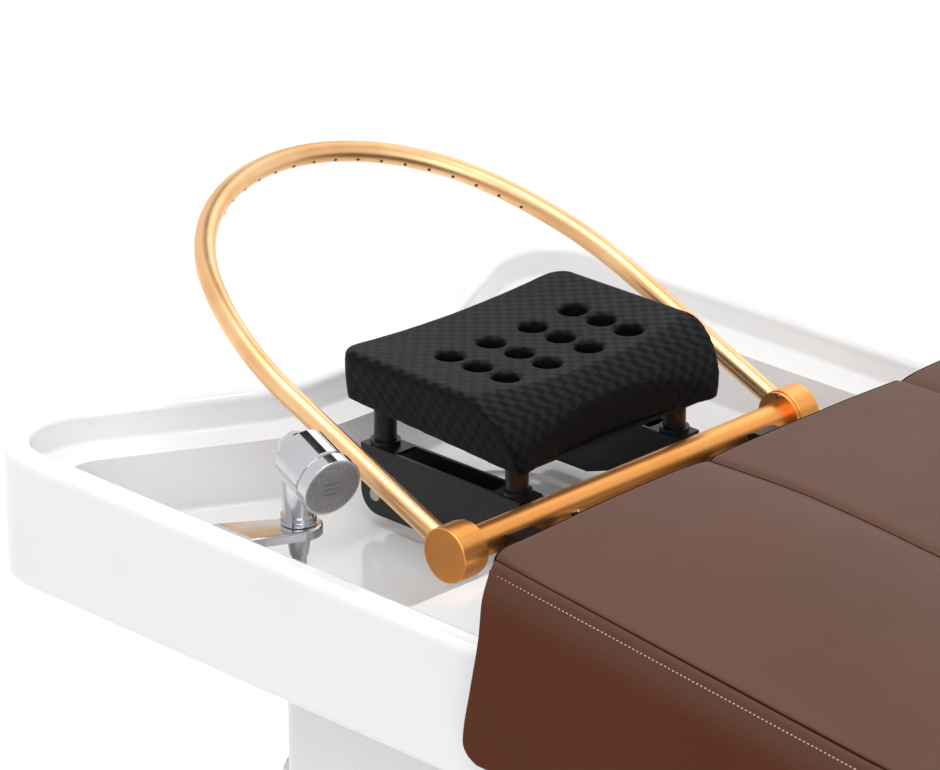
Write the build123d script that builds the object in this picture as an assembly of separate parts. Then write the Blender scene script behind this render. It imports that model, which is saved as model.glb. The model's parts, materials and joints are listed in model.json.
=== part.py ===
from build123d import *
import os
from math import atan2, cos, radians, sin, tan

# Hair washing bed, in millimetres. Sizes are measured from the spray bar's axis:
# +X to the foot end, +Y across, +Z up. The saved model stands centred on the floor.

# Overall sizes
bed_length = 2000
bed_width = 750
bar_height = 535
head_reach = 432
foot_reach = bed_length - head_reach
floor_z = -bar_height
half_bed = bed_width / 2

# Shared fits and overruns
cut_over = 40
close_fit = 0.05
seat_gap = 0.3

# Ceramic basin
basin_side_gap = 17
half_basin = half_bed - basin_side_gap
basin_rim_z = 20
basin_foot_z = -100
basin_foot_x = 212
shoulder_side_gap = 96
shoulder_y = half_basin - shoulder_side_gap
waist_half = 85.2
waist_angle = 28
waist_depth = (shoulder_y - waist_half) * tan(radians(waist_angle))
head_round = 70
shoulder_round = 92
waist_round = 120
foot_round = 30
rim_round = 9
rim_inner_round = 7
basin_wall = 12
ledge_inset = 24
ledge_z = -10
ledge_foot_x = 190
ledge_corner_round = 12
bowl_inset = 60
bowl_foot_x = 35
bowl_floor_z = -68
bowl_corner_round = 10
bowl_floor_round = 5

# Drain in the bowl floor
drain_x = -150
drain_bore = 22
drain_neck = 26
drain_flange_radius = 42
drain_flange_thick = 4
drain_flange_round = 1.3
drain_dish_radius = 75
drain_dish_depth = 3
drain_neck_length = 64
strainer_seat_radius = 31
strainer_seat_depth = 2
strainer_basket_radius = 20
strainer_basket_depth = 18
strainer_wall = 1.5
strainer_knob_radius = 6
strainer_knob_height = 12
strainer_stem_radius = 3
strainer_hole_radius = 2
strainer_ring_count = 2
strainer_hole_count = 6
strainer_ring_share = 0.42
drain_nut_radius = 36
drain_gasket_thick = 4
drain_nut_thick = 12

# Trap and waste pipe
trap_radius = 32
trap_wall = 3
trap_round = 8
trap_top_z = -185
trap_bottom_z = -300
trap_nut_radius = 30
trap_nut_top_z = -120
waste_radius = 20
waste_x = 30
waste_z = -215
waste_start_x = -95
waste_bend = 45

# Spray bar, caps and arch
bar_radius = 14
bar_wall = 3
cap_radius = 24
cap_length = 24
cap_outer_y = 219
cap_round = 1.2
cap_counterbore = 17.2
cap_counterbore_depth = 3.5
cap_chamber_radius = 12
cap_end_wall = 5
bar_flange_radius = 16.5
spigot_radius = 10
spigot_wall = 3
spigot_clear = 3
ring_radius = 22.8
ring_thick = 4
ring_screw_pitch = 20
ring_screw_radius = 1.25
ring_screw_length = 7
ring_screw_head = 1.9
ring_screw_head_thick = 1.4
ring_screw_count = 3
bush_length = 4
arch_rest_angle = 22.84
arch_tube_radius = 9.5
arch_tube_wall = 1.5
arch_leg = 204
arch_apex = 460
arch_side_radius = 337
jet_radius = 1.5
jet_length = 3
jet_proud = 0.3
jet_bore = 0.7
jet_pitch = 23.4
jet_count = 22
jet_tilt = 13

# Bar carriers behind the bowl
bridge_thick = 6
bridge_head_x = 36
bridge_foot_x = 150
bridge_half = 190
bridge_bolt_x = 140
bridge_bolt_y = (60, 160)
bridge_bolt_radius = 4
bridge_bolt_head = 6.5
bridge_bolt_head_thick = 5
bridge_nut_radius = 7
bridge_nut_thick = 7
saddle_y = 150
saddle_width = 26
saddle_low_x = 4
saddle_foot_x = 62
saddle_low_z = -17
saddle_top_z = 8
saddle_back_x = 20
saddle_lip_z = 4
saddle_lip_x = 11
saddle_toe_x = 33
screw_radius = 2.5
screw_length = 14
screw_head = 4.2
screw_head_thick = 4
saddle_screw_x = 52
saddle_screw_step = 8
supply_y = 75
supply_x = 75
supply_radius = 5
supply_wall = 1
supply_drop = -3
supply_slot = 9
supply_bend = 14
supply_run_z = -200

# Headrest rails, channels, posts and pad
bracket_y = 97
pivot_x = -188
pivot_z = -35
rail_thick = 5
rail_end_radius = 12
rail_top_z = -17
rail_low_z = -50
rail_taper_x = -150
rail_rise_x = 16
rail_toe_x = 33
rail_foot_x = 104
rail_foot_top_z = 4
rail_foot_half = 12
rail_rib_top_z = 10
rail_rib_x = 30
rail_screw_x = (50, 92)
rail_screw_step = 7.5
channel_width = 28
channel_wall = 3
channel_top_z = 7
channel_head_x = -208
channel_bed_x = -20
channel_low_z = -55
channel_bed_z = -20
channel_bend_x = -125
channel_corner = 20
window_head_x = -168
window_bed_x = -54
pivot_radius = 4
pivot_head_radius = 6
pivot_head_thick = 4
pivot_head_round = 1
pivot_nut_radius = 7
spacer_radius = 8
side_play = 0.1
post_x = (-192, -36)
post_radius = 10
post_flare = 13
post_flare_height = 4
pad_head_x = -212
pad_bed_x = -8
pad_side_top = 139
pad_side_low = 112
pad_under_head_z = 51
pad_under_bed_z = 37
pad_edge_z = 101
pad_middle_z = 94
pad_front_z = 47
pad_roll_x = -58
pad_roll_share = 0.64
pad_corner = 24
pad_edge_round = 6
pad_hole_radius = 12
pad_hole_lip = 3
pad_hole_x = (-136.4, -103, -70.5)
pad_hole_y = (25.5, 75.7)
pad_front_dip = 12
pad_plate_thick = 3
pad_plate_inset = 9
pad_plate_half = 108

# Handset, hose and holder
handset_x = -104
holder_reach = 51
handset_y = ledge_inset + holder_reach - half_basin
handset_axis_z = 81
handset_axis_shares = (0.947, -0.187, -0.261)
stem_radius = 13
stem_wall = 7
stem_foot_z = 26
elbow_radius = 17
head_radius = 26.5
head_reach_length = 54
head_band = 12
head_cone_start = 6
seam_depth = 0.8
seam_width = 1.6
face_thick = 5
face_radius = 24.5
face_dot_radius = 0.9
face_dot_depth = 0.8
face_dot_ring_radii = (21.5, 18.5)
face_dot_counts = (30, 26)
face_slot_half = 9
face_slot_width = 3
face_slot_step = 5
collar_radius = 15
collar_groove = 1
collar_round = 0.9
nut_top_radius = 11
nut_low_radius = 7.75
nut_taper_top_z = 10
nut_foot_z = -10
nut_bore = 4.5
nut_spigot_radius = 6
nut_spigot_top_z = 38
hose_radius = 6.5
hose_root_radius = 5.7
hose_bore = 4.5
hose_foot_z = -132
hose_rib_pitch = 3
hose_rib_shares = ((0.17, 0), (0.33, 0), (0.5, 1), (1, 1))
sleeve_radius = 9.3
sleeve_bore = 7.3
sleeve_foot_z = -138
sleeve_cap = 2
grommet_radius = 8
grommet_flange = 9.3
grommet_flange_thick = 1.5
holder_top_z = 18
holder_low_z = 9.5
holder_ring_radius = 20
holder_arm_angle = 20
holder_root_x = (-153, -106)
holder_plate_thick = 3
holder_plate_low_z = -4.5
holder_plate_top_z = 12
holder_screw_z = 1
holder_screw_step = 15
holder_screw_radius = 1.8
holder_screw_head = 3.4
holder_screw_head_thick = 2
holder_screw_length = 11
holder_edge_round = 2

# Pedestal round the trap
trap_side_gap = 45
pedestal_half_x = trap_side_gap - drain_x
pedestal_side_gap = 128
pedestal_half_y = half_basin - pedestal_side_gap
pedestal_wall = 4
pedestal_corner = 30
pedestal_floor_gap = 10
pedestal_foot_z = floor_z + pedestal_floor_gap
pedestal_top_z = bowl_floor_z - basin_wall
base_thick = 6
riser_side_gap = 30
riser_half = pedestal_half_y - riser_side_gap

# Water controls inside the pedestal
valve_side_gap = 30
valve_length = 100
valve_low_y = valve_side_gap - pedestal_half_y
valve_y = (valve_low_y, valve_low_y + valve_length)
valve_z = (-310, -260)
valve_depth = 40
knob_inset = 25
knob_y = (valve_y[0] + knob_inset, valve_y[1] - knob_inset)
valve_neck = 12
valve_neck_reach = 8
panel_nut_radius = 18
panel_nut_thick = 4
knob_radius = 20
knob_thick = 24
knob_round = 1.5
knob_collar = 8
knob_grip_radius = 3
knob_grip_out = 1.5
knob_grip_count = 8
spindle_radius = 4
spindle_depth = 24
tail_radius = 7.5
tail_wall = 3
tail_neck_radius = 6
tail_neck_length = 20
pipe_hole_gap = 2
tail_inset = 16
tail_y = (valve_y[0] + tail_inset, valve_y[1] - tail_inset)
outlet_inset = 35
handset_feed_y = valve_y[0] + outlet_inset
handset_feed_z = -115
supply_outlet_y = valve_y[1] - outlet_inset
feed_bend = 20

# Access door on the far side
door_side_gap = 53
door_half = pedestal_half_x - door_side_gap
door_foot_gap = 35
door_top_z = -150
door_z = (pedestal_foot_z + door_foot_gap, door_top_z)
door_lap = 14
door_thick = 4
door_round = 10
hinge_side_gap = 10
hinge_x = door_half + hinge_side_gap
hinge_out = 7
hinge_radius = 5
hinge_pin = 2.5
hinge_inset = 70
hinge_z = (door_z[0] + hinge_inset, door_z[1] - hinge_inset)
hinge_half = 22
hinge_leaf = 24
hinge_leaf_thick = 2
hinge_play = 0.3
pull_radius = 13
pull_inset = 30
catch_width = 24
catch_depth = 10
catch_drop = 12
catch_x = -70

# Steel frame and its feet
tube_size = 40
tube_wall = 3
frame_top_z = -22
cross_head_x = 120
cross_end_gap = 18
cross_head_half = half_basin - cross_end_gap
rail_side_gap = 75
rail_centre_y = half_bed - rail_side_gap
frame_end_inset = 68
frame_rail_end_x = foot_reach - frame_end_inset
leg_head_x = 500
leg_end_inset = 50
leg_x = (leg_head_x, frame_rail_end_x - leg_end_inset)
cross_x = (leg_x[0], (leg_x[0] + leg_x[1]) / 2, leg_x[1])
leg_floor_gap = 18
leg_foot_z = floor_z + leg_floor_gap
stretcher_rise = 135
stretcher_top_z = floor_z + stretcher_rise
foot_pad_radius = 20
foot_pad_thick = 8
foot_pad_round = 2
foot_stud_radius = 5
foot_stud_length = 20
pedestal_pad_x = 120
pedestal_pad_inset = 30
pedestal_pad_y = pedestal_half_y - pedestal_pad_inset

# Boards and upholstery
board_thick = 18
top_board_z = 31
top_board_head_x = 205
board_head_x = 222
board_low_z = -65
batten_width = 50
batten_count = 4
batten_head_x = 285
leather_thick = 14
board_end_x = foot_reach - leather_thick
skirt_low_z = -70
head_edge_x = 195
head_edge_roll = 4
head_outline = ((199, 105), (192, 74), (188, 39), (179, -7), (171, -52), (176, -63), (189, -70))
seam_fall_x = 600
seam_fall_z = 62
top_side_gap = 0.3
top_groove_y = 117
top_groove_half = 6
top_groove_depth = 5
cushion_end_x = board_end_x - top_side_gap
cushion_end_roll = 6.7
# Cushion sections: place along the bed, heights of the edge, the groove and the middle,
# and the panels' crown.
top_sections = (
    (head_edge_x, 103, 111, 113, 5),
    (head_edge_x + head_edge_roll, 105.5, 114, 116, 5),
    (290, 96, 115, 118, 6),
    (430, 81, 105, 109, 7),
    (600, 63, 90, 95, 7),
    (720, 60, 86, 91, 7),
    (cushion_end_x - cushion_end_roll, 60, 86, 91, 7),
    (cushion_end_x, 56, 82, 87, 7),
)

BASE = (Align.CENTER, Align.CENTER, Align.MIN)
to_floor = Pos((head_reach - foot_reach) / 2, 0, bar_height)


def save(name, *shapes):
    """Write one sub-part, moved from the bar's axis to the floor below the bed's middle."""
    solids = [to_floor * solid for shape in shapes for solid in shape.solids()]
    shape = solids[0] if len(solids) == 1 else Compound(solids)
    export_step(shape, f"parts/{name}.step")


def block(x0, x1, y0, y1, z0, z1):
    """Rectangular solid between two corners."""
    centre = Pos((x0 + x1) / 2, (y0 + y1) / 2, (z0 + z1) / 2)
    return centre * Box(abs(x1 - x0), abs(y1 - y0), abs(z1 - z0))


def rod(start, end, radius):
    """Round solid between two points."""
    run = Vector(*end) - Vector(*start)
    return Plane(origin=start, z_dir=run) * Cylinder(radius, run.length, align=BASE)


def upright(x, y, z0, z1, radius):
    """Round solid standing between two heights."""
    return rod((x, y, z0), (x, y, z1), radius)


def across(x, z, y0, y1, radius):
    """Round solid lying across the bed between two sides."""
    return rod((x, y0, z), (x, y1, z), radius)


def slab(face, z0, z1):
    """Plan outline raised between two heights."""
    return extrude(Pos(0, 0, z0) * face, z1 - z0, dir=(0, 0, 1))


def side_plate(points, y0, y1):
    """Outline in X and Z, made solid between two sides."""
    face = Plane.XZ.offset(-y0) * make_face(Polyline(*points, close=True))
    return extrude(face, y1 - y0, dir=(0, 1, 0))


def cross_plate(wire, x0, x1):
    """Outline in Y and Z, made solid along the bed."""
    face = Plane.YZ.offset(x0) * make_face(wire)
    return extrude(face, x1 - x0, dir=(1, 0, 0))


def hexagon(start, end, radius):
    """Hexagonal solid between two points."""
    run = Vector(*end) - Vector(*start)
    face = Plane(origin=start, z_dir=run) * RegularPolygon(radius, 6)
    return extrude(face, run.length, dir=run.normalized())


def bent_path(points, bend):
    """Straight runs between points, joined by tangent arcs of one radius."""
    corners = [Vector(*point) for point in points]
    edges = []
    start = corners[0]
    for before, corner, after in zip(corners, corners[1:], corners[2:]):
        inward = (before - corner).normalized()
        onward = (after - corner).normalized()
        half_turn = radians(180 - inward.get_angle(onward)) / 2
        trim = bend * tan(half_turn)
        centre_way = (inward + onward).normalized()
        reach = bend / cos(half_turn)
        arc_start = corner + inward * trim
        arc_end = corner + onward * trim
        arc_middle = corner + centre_way * (reach - bend)
        edges.append(Line(start, arc_start))
        edges.append(ThreePointArc(arc_start, arc_middle, arc_end))
        start = arc_end
    edges.append(Line(start, corners[-1]))
    return Wire(edges)


def pipe(points, bend, radius, wall):
    """Bent hollow pipe through a list of points."""
    path = bent_path(points, bend)
    start = Plane(origin=points[0], z_dir=path % 0)
    outer = sweep(start * Circle(radius), path=path)
    inner = sweep(start * Circle(radius - wall), path=path)
    return outer - inner


def mirrored(shape):
    """Shape copied to the other side of the bed."""
    return mirror(shape, about=Plane.XZ)


def both_sides(shape):
    """Shape together with its copy on the other side."""
    return [shape, mirrored(shape)]


def combined(shapes):
    """Shapes joined into one cutting tool."""
    return Compound([solid for shape in shapes for solid in shape.solids()])


def basin_plan(inset, foot_x, foot_corner):
    """Plan outline drawn in by an inset, with the head end waisted in the middle."""
    lean = inset * tan(radians(waist_angle / 2))
    side = half_basin - inset
    near = [
        (foot_x, -side),
        (inset - head_reach, -side),
        (inset - head_reach, -shoulder_y - lean),
        (inset - head_reach + waist_depth, -waist_half - lean),
    ]
    far = [(x, -y) for x, y in reversed(near)]
    corner = max(head_round - inset, bowl_corner_round)
    rounds = [foot_corner, corner, shoulder_round - inset, waist_round + inset]
    return make_face(FilletPolyline(*near, *far, radius=rounds + rounds[::-1], close=True))


def basin_shell():
    """Outer body with a rounded rim, the stepped recess and the bowl."""
    body = slab(basin_plan(0, basin_foot_x, foot_round), basin_foot_z, basin_rim_z)
    body = fillet(body.edges().group_by(Axis.Z)[-1], rim_round)
    body = fillet(body.edges().group_by(Axis.Z)[0], rim_inner_round)
    recess = slab(
        basin_plan(ledge_inset, ledge_foot_x, ledge_corner_round), ledge_z, basin_rim_z + cut_over
    )
    recess = fillet(recess.edges().group_by(Axis.Z)[0], bowl_floor_round)
    body -= recess
    rim = body.faces().sort_by(Axis.Z)[-1]
    body = fillet(rim.inner_wires()[0].edges(), rim_inner_round)
    bowl = slab(basin_plan(bowl_inset, bowl_foot_x, bowl_corner_round), bowl_floor_z, basin_rim_z)
    bowl = fillet(bowl.edges().group_by(Axis.Z)[0], bowl_floor_round)
    return body - bowl


def basin_underside():
    """Hollow below the deck, around the bowl, open at the foot end."""
    deck_low_z = ledge_z - basin_wall
    inner_round = foot_round - basin_wall
    hollow = slab(
        basin_plan(basin_wall, basin_foot_x - basin_wall, inner_round),
        basin_foot_z - cut_over,
        deck_low_z,
    )
    bowl_block = slab(
        basin_plan(bowl_inset - basin_wall, bowl_foot_x + basin_wall, inner_round),
        bowl_floor_z - basin_wall,
        deck_low_z + cut_over,
    )
    open_end = block(
        basin_foot_x - basin_wall - foot_round,
        basin_foot_x + cut_over,
        basin_wall - half_basin,
        half_basin - basin_wall,
        basin_foot_z - cut_over,
        deck_low_z,
    )
    return (hollow - bowl_block) + open_end


def deck_holes():
    """Holes for the bridge bolts and the supply pipe through the foot deck."""
    low = ledge_z - basin_wall - cut_over
    holes = [
        upright(bridge_bolt_x, side * y, low, cut_over, bridge_bolt_radius + close_fit)
        for y in bridge_bolt_y
        for side in (-1, 1)
    ]
    holes.append(upright(supply_x, -supply_y, low, cut_over, supply_slot))
    return combined(holes)


def make_basin():
    """Ceramic basin with its drain, hose and holder holes."""
    dish_z = bowl_floor_z - drain_dish_depth
    floor_low = bowl_floor_z - basin_wall - cut_over
    dish = upright(drain_x, 0, dish_z, 0, drain_dish_radius)
    drain_hole = upright(drain_x, 0, floor_low, 0, drain_neck)
    hose_hole = upright(handset_x, handset_y, floor_low, 0, grommet_radius)
    body = basin_shell() - basin_underside()
    body -= combined([dish])
    body -= combined([drain_hole, hose_hole, holder_screw_shanks()])
    return body - deck_holes()


def holder_screw_places():
    """Centres of the two holder screws on the basin's near wall."""
    middle = (holder_root_x[0] + holder_root_x[1]) / 2
    return [(middle + side * holder_screw_step, holder_screw_z) for side in (-1, 1)]


def holder_wall_y():
    """Inner face of the basin's near wall."""
    return ledge_inset - half_basin


def holder_screw_shanks():
    """Shanks of the holder screws, running into the basin wall."""
    wall = holder_wall_y()
    inner = wall + holder_plate_thick
    return combined(
        [
            across(x, z, inner - holder_screw_length, inner, holder_screw_radius)
            for x, z in holder_screw_places()
        ]
    )


def make_drain_flange():
    """Flanged drain neck with a seat for the strainer."""
    low = bowl_floor_z - drain_dish_depth
    top = low + drain_flange_thick
    body = upright(drain_x, 0, low, top, drain_flange_radius)
    body = fillet(body.edges().group_by(Axis.Z)[-1], drain_flange_round)
    body += upright(drain_x, 0, low - drain_neck_length, low, drain_neck)
    body -= upright(drain_x, 0, low - drain_neck_length, top, drain_bore)
    return body - upright(drain_x, 0, top - strainer_seat_depth, top, strainer_seat_radius)


def make_strainer():
    """Lift-out hair strainer: rimmed basket with holes and a pull knob."""
    seat = bowl_floor_z - drain_dish_depth + drain_flange_thick - strainer_seat_depth
    rim_top = seat + strainer_seat_depth
    foot = seat - strainer_basket_depth
    body = upright(drain_x, 0, seat, rim_top, strainer_seat_radius - seat_gap)
    body += upright(drain_x, 0, foot, seat, strainer_basket_radius)
    inner = strainer_basket_radius - strainer_wall
    body -= upright(drain_x, 0, foot + strainer_wall, rim_top, inner)
    holes = []
    for ring in range(1, strainer_ring_count + 1):
        reach = ring * inner * strainer_ring_share
        count = ring * strainer_hole_count
        for place in range(count):
            turn = radians(place * 360 / count)
            x = drain_x + reach * cos(turn)
            y = reach * sin(turn)
            holes.append(upright(x, y, foot, foot + strainer_wall, strainer_hole_radius))
    body -= combined(holes)
    knob_top = foot + strainer_basket_depth + strainer_knob_height
    body += upright(drain_x, 0, foot, knob_top, strainer_stem_radius)
    return body + upright(drain_x, 0, rim_top, knob_top, strainer_knob_radius)


def drain_under_z():
    """Underside of the basin floor at the drain."""
    return bowl_floor_z - basin_wall


def make_gasket():
    """Sealing ring below the basin floor."""
    top = drain_under_z()
    low = top - drain_gasket_thick
    ring = upright(drain_x, 0, low, top, drain_nut_radius)
    return ring - upright(drain_x, 0, low, top, drain_neck)


def make_locknut():
    """Hexagonal lock nut that clamps the drain flange."""
    top = drain_under_z() - drain_gasket_thick
    low = top - drain_nut_thick
    nut = hexagon((drain_x, 0, low), (drain_x, 0, top), drain_nut_radius)
    return nut - upright(drain_x, 0, low, top, drain_neck)


def make_trap():
    """Bottle trap with its union nut and side outlet."""
    body = upright(drain_x, 0, trap_bottom_z, trap_top_z, trap_radius)
    body = fillet(body.edges().group_by(Axis.Z)[0], trap_round)
    body += hexagon((drain_x, 0, trap_top_z), (drain_x, 0, trap_nut_top_z), trap_nut_radius)
    body += rod((drain_x, 0, waste_z), (waste_start_x, 0, waste_z), waste_radius + trap_wall)
    neck_foot = bowl_floor_z - drain_dish_depth - drain_neck_length
    body -= upright(drain_x, 0, neck_foot, trap_nut_top_z, drain_neck)
    body -= upright(drain_x, 0, trap_top_z - trap_wall, neck_foot, drain_bore)
    inner = trap_radius - trap_wall
    body -= upright(drain_x, 0, trap_bottom_z + trap_wall, trap_top_z - trap_wall, inner)
    socket = rod((waste_start_x - waste_radius, 0, waste_z), (waste_start_x, 0, waste_z), waste_radius)
    mouth = rod((drain_x, 0, waste_z), (waste_start_x, 0, waste_z), waste_radius - trap_wall)
    return body - socket - mouth


def make_waste_pipe():
    """Waste pipe from the trap down to the floor."""
    start = waste_start_x - waste_radius
    points = [(start, 0, waste_z), (waste_x, 0, waste_z), (waste_x, 0, floor_z)]
    return pipe(points, waste_bend, waste_radius, trap_wall)


def arch_plane():
    """Plane of the spray arch at rest, with its second axis along the arch's legs."""
    lean = radians(arch_rest_angle)
    return Plane(origin=(0, 0, 0), x_dir=(0, 1, 0), z_dir=(sin(lean), 0, cos(lean)))


def arch_top():
    """Radius of the arch's top arc, its centre height and the join with the side arc."""
    half = cap_outer_y - cap_length / 2
    side_in = arch_side_radius - half
    rise = arch_apex - arch_leg
    top_radius = (side_in**2 + rise**2 - arch_side_radius**2) / (2 * (rise - arch_side_radius))
    centre = arch_apex - top_radius
    way = Vector(side_in, centre - arch_leg).normalized()
    join = Vector(-side_in, arch_leg) + way * arch_side_radius
    return top_radius, centre, join


def arch_path():
    """Centre line of the arch: two legs, two side arcs and the top arc."""
    half = cap_outer_y - cap_length / 2
    start = cap_counterbore
    radius, centre, join = arch_top()
    side_centre = Vector(half - arch_side_radius, arch_leg)
    middle = (join - side_centre).normalized() + Vector(1, 0)
    bulge = side_centre + middle.normalized() * arch_side_radius
    edges = [
        Line((-half, start), (-half, arch_leg)),
        ThreePointArc((-half, arch_leg), (-bulge.X, bulge.Y), (-join.X, join.Y)),
        ThreePointArc((-join.X, join.Y), (0, arch_apex), (join.X, join.Y)),
        ThreePointArc((join.X, join.Y), (bulge.X, bulge.Y), (half, arch_leg)),
        Line((half, arch_leg), (half, start)),
    ]
    return arch_plane() * Wire(edges)


def arch_station(reach):
    """Point of the arch's centre line at a length from its apex, and the way inwards there."""
    top_radius, centre, join = arch_top()
    half = cap_outer_y - cap_length / 2
    top_turn = atan2(join.X, join.Y - centre)
    side = 1 if reach > 0 else -1
    beyond = abs(reach) - top_radius * top_turn
    if beyond <= 0:
        turn = reach / top_radius
        way = Vector(sin(turn), cos(turn))
        return Vector(0, centre) + way * top_radius, way * -1
    turn = top_turn + beyond / arch_side_radius
    way = Vector(side * sin(turn), cos(turn))
    side_centre = Vector(side * (half - arch_side_radius), arch_leg)
    return side_centre + way * arch_side_radius, way * -1


def jet_rods(inner, outer, radius):
    """Round pins on the inner side of the arch, tilted to the back of its plane."""
    plane = arch_plane()
    tilt = radians(jet_tilt)
    pins = []
    for place in range(jet_count):
        point, way = arch_station((place - (jet_count - 1) / 2) * jet_pitch)
        leaning = Vector(way.X * cos(tilt), way.Y * cos(tilt), -sin(tilt))
        start = plane.from_local_coords(point + leaning * inner)
        end = plane.from_local_coords(point + leaning * outer)
        pins.append(rod(tuple(start), tuple(end), radius))
    return pins


def make_jets():
    """Small spray nozzles set into the arch."""
    outer = arch_tube_radius + jet_proud
    inner = outer - jet_length
    bodies = jet_rods(inner, outer, jet_radius)
    bores = jet_rods(inner, outer, jet_bore)
    return [body - bore for body, bore in zip(bodies, bores)]


def make_arch():
    """Hollow bent tube of the spray arch."""
    path = arch_path()
    start = Plane(origin=path @ 0, z_dir=path % 0)
    outer = sweep(start * Circle(arch_tube_radius), path=path)
    inner = sweep(start * Circle(arch_tube_radius - arch_tube_wall), path=path)
    sockets = jet_rods(arch_tube_radius - jet_length, arch_tube_radius + jet_proud, jet_radius)
    return outer - inner - combined(sockets)


def make_cap():
    """End cap that turns on the bar and holds one leg of the arch."""
    inner_y = cap_outer_y - cap_length
    chamber_y = cap_outer_y - cap_end_wall
    body = across(0, 0, inner_y, cap_outer_y, cap_radius)
    body = fillet(body.edges().filter_by(GeomType.CIRCLE), cap_round)
    body -= across(0, 0, inner_y, inner_y + cap_counterbore_depth, cap_counterbore)
    body -= across(0, 0, inner_y, chamber_y, cap_chamber_radius)
    leg_plane = arch_plane()
    half = cap_outer_y - cap_length / 2
    foot = tuple(leg_plane.from_local_coords(Vector(half, 0)))
    tip = tuple(leg_plane.from_local_coords(Vector(half, cap_radius + cut_over)))
    body -= rod(foot, tip, arch_tube_radius)
    return body - combined(ring_screw_shanks())


def ring_screw_places():
    """Centres of the screws round a cap's retaining ring."""
    places = []
    for number in range(ring_screw_count):
        turn = radians(number * 360 / ring_screw_count + 90)
        places.append((ring_screw_pitch * cos(turn), ring_screw_pitch * sin(turn)))
    return places


def ring_screw_shanks():
    """Shanks of one ring's screws."""
    face = cap_outer_y - cap_length - ring_thick
    return [
        across(x, z, face, face + ring_screw_length, ring_screw_radius)
        for x, z in ring_screw_places()
    ]


def make_cap_screws():
    """Screws of one retaining ring, with their heads."""
    face = cap_outer_y - cap_length - ring_thick
    return [
        across(x, z, face, face + ring_screw_length, ring_screw_radius)
        + across(x, z, face - ring_screw_head_thick, face, ring_screw_head)
        for x, z in ring_screw_places()
    ]


def make_cap_ring():
    """Ring that traps the bar's flange in the cap."""
    outer_y = cap_outer_y - cap_length
    inner_y = outer_y - ring_thick
    ring = across(0, 0, inner_y, outer_y, ring_radius)
    ring -= across(0, 0, inner_y, outer_y, bar_radius + close_fit)
    return ring - combined(ring_screw_shanks())


def make_bush():
    """Swivel bush pressed into the cap round the bar's spigot."""
    start = cap_outer_y - cap_length + cap_counterbore_depth + seat_gap
    bush = across(0, 0, start, start + bush_length, cap_chamber_radius)
    return bush - across(0, 0, start, start + bush_length, spigot_radius + close_fit)


def make_bar():
    """Hollow bar with a flange and a spigot at each end."""
    face = cap_outer_y - cap_length
    flange_end = face + cap_counterbore_depth - seat_gap
    end = cap_outer_y - cap_end_wall - spigot_clear
    body = across(0, 0, -face, face, bar_radius)
    bore = across(0, 0, bar_wall - face, face - bar_wall, bar_radius - bar_wall)
    for side in (-1, 1):
        start = side * (face + seat_gap)
        body += across(0, 0, side * face, side * flange_end, bar_radius)
        body += across(0, 0, start, side * flange_end, bar_flange_radius)
        body += across(0, 0, side * flange_end, side * end, spigot_radius)
    through = across(0, 0, -end, end, spigot_radius - spigot_wall)
    feed_start = (0, -supply_y, supply_drop)
    feed_end = (bar_radius, -supply_y, supply_drop)
    inlet = rod(feed_start, feed_end, supply_radius - supply_wall)
    body = body - bore - through - inlet
    holes = [
        rod((0, side * saddle_y, 0), (bar_radius, side * saddle_y, 0), screw_radius)
        for side in (-1, 1)
    ]
    return body - combined(holes)


def screw(start, way):
    """Cap screw with its point at start, running towards its head."""
    run = Vector(*way)
    seat = Vector(*start) + run * screw_length
    top = seat + run * screw_head_thick
    return rod(start, tuple(seat), screw_radius) + rod(tuple(seat), tuple(top), screw_head)


def bar_screws():
    """Screws that hold the bar in its saddles."""
    start = bar_radius - bar_wall
    return [screw((start, side * saddle_y, 0), (1, 0, 0)) for side in (-1, 1)]


def saddle_screws():
    """Screws that hold the saddles on the bridge."""
    return [
        screw((saddle_screw_x, side * saddle_y + step, ledge_z), (0, 0, 1))
        for side in (-1, 1)
        for step in (-saddle_screw_step, saddle_screw_step)
    ]


def rail_screws():
    """Screws that hold the headrest rails on the bridge."""
    return [
        screw((x, side * (bracket_y + step), ledge_z), (0, 0, 1))
        for side in (-1, 1)
        for x, step in zip(rail_screw_x, (-rail_screw_step, rail_screw_step))
    ]


def make_saddle():
    """Saddle that holds the bar from its foot side and stands on the bridge."""
    bridge_top = ledge_z + bridge_thick
    points = [
        (saddle_low_x, saddle_low_z),
        (saddle_toe_x, saddle_low_z),
        (saddle_toe_x, bridge_top),
        (saddle_foot_x, bridge_top),
        (saddle_foot_x, saddle_top_z),
        (saddle_back_x, saddle_top_z),
        (saddle_lip_x, saddle_lip_z),
    ]
    start = saddle_y - saddle_width / 2
    end = saddle_y + saddle_width / 2
    body = side_plate(points, start, end)
    body -= across(0, 0, start - cut_over, end + cut_over, bar_radius)
    seat = bar_radius - bar_wall + screw_length
    body -= rod((0, saddle_y, 0), (seat, saddle_y, 0), screw_radius + close_fit)
    body -= rod((seat, saddle_y, 0), (saddle_foot_x, saddle_y, 0), screw_head + close_fit)
    return body - combined(saddle_screws())


def make_bridge():
    """Steel plate on the basin's deck that carries the bar and the headrest."""
    top = ledge_z + bridge_thick
    body = block(bridge_head_x, bridge_foot_x, -bridge_half, bridge_half, ledge_z, top)
    slot = block(
        bridge_head_x, supply_x, -supply_y - supply_slot, supply_slot - supply_y, ledge_z, top
    )
    slot += upright(supply_x, -supply_y, ledge_z, top, supply_slot)
    bolts = [
        upright(bridge_bolt_x, side * y, ledge_z, top, bridge_bolt_radius)
        for y in bridge_bolt_y
        for side in (-1, 1)
    ]
    return body - slot - combined(bolts + saddle_screws() + rail_screws())


def bolt_places():
    """Plan places of the bridge bolts."""
    return [(bridge_bolt_x, side * y) for y in bridge_bolt_y for side in (-1, 1)]


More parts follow.
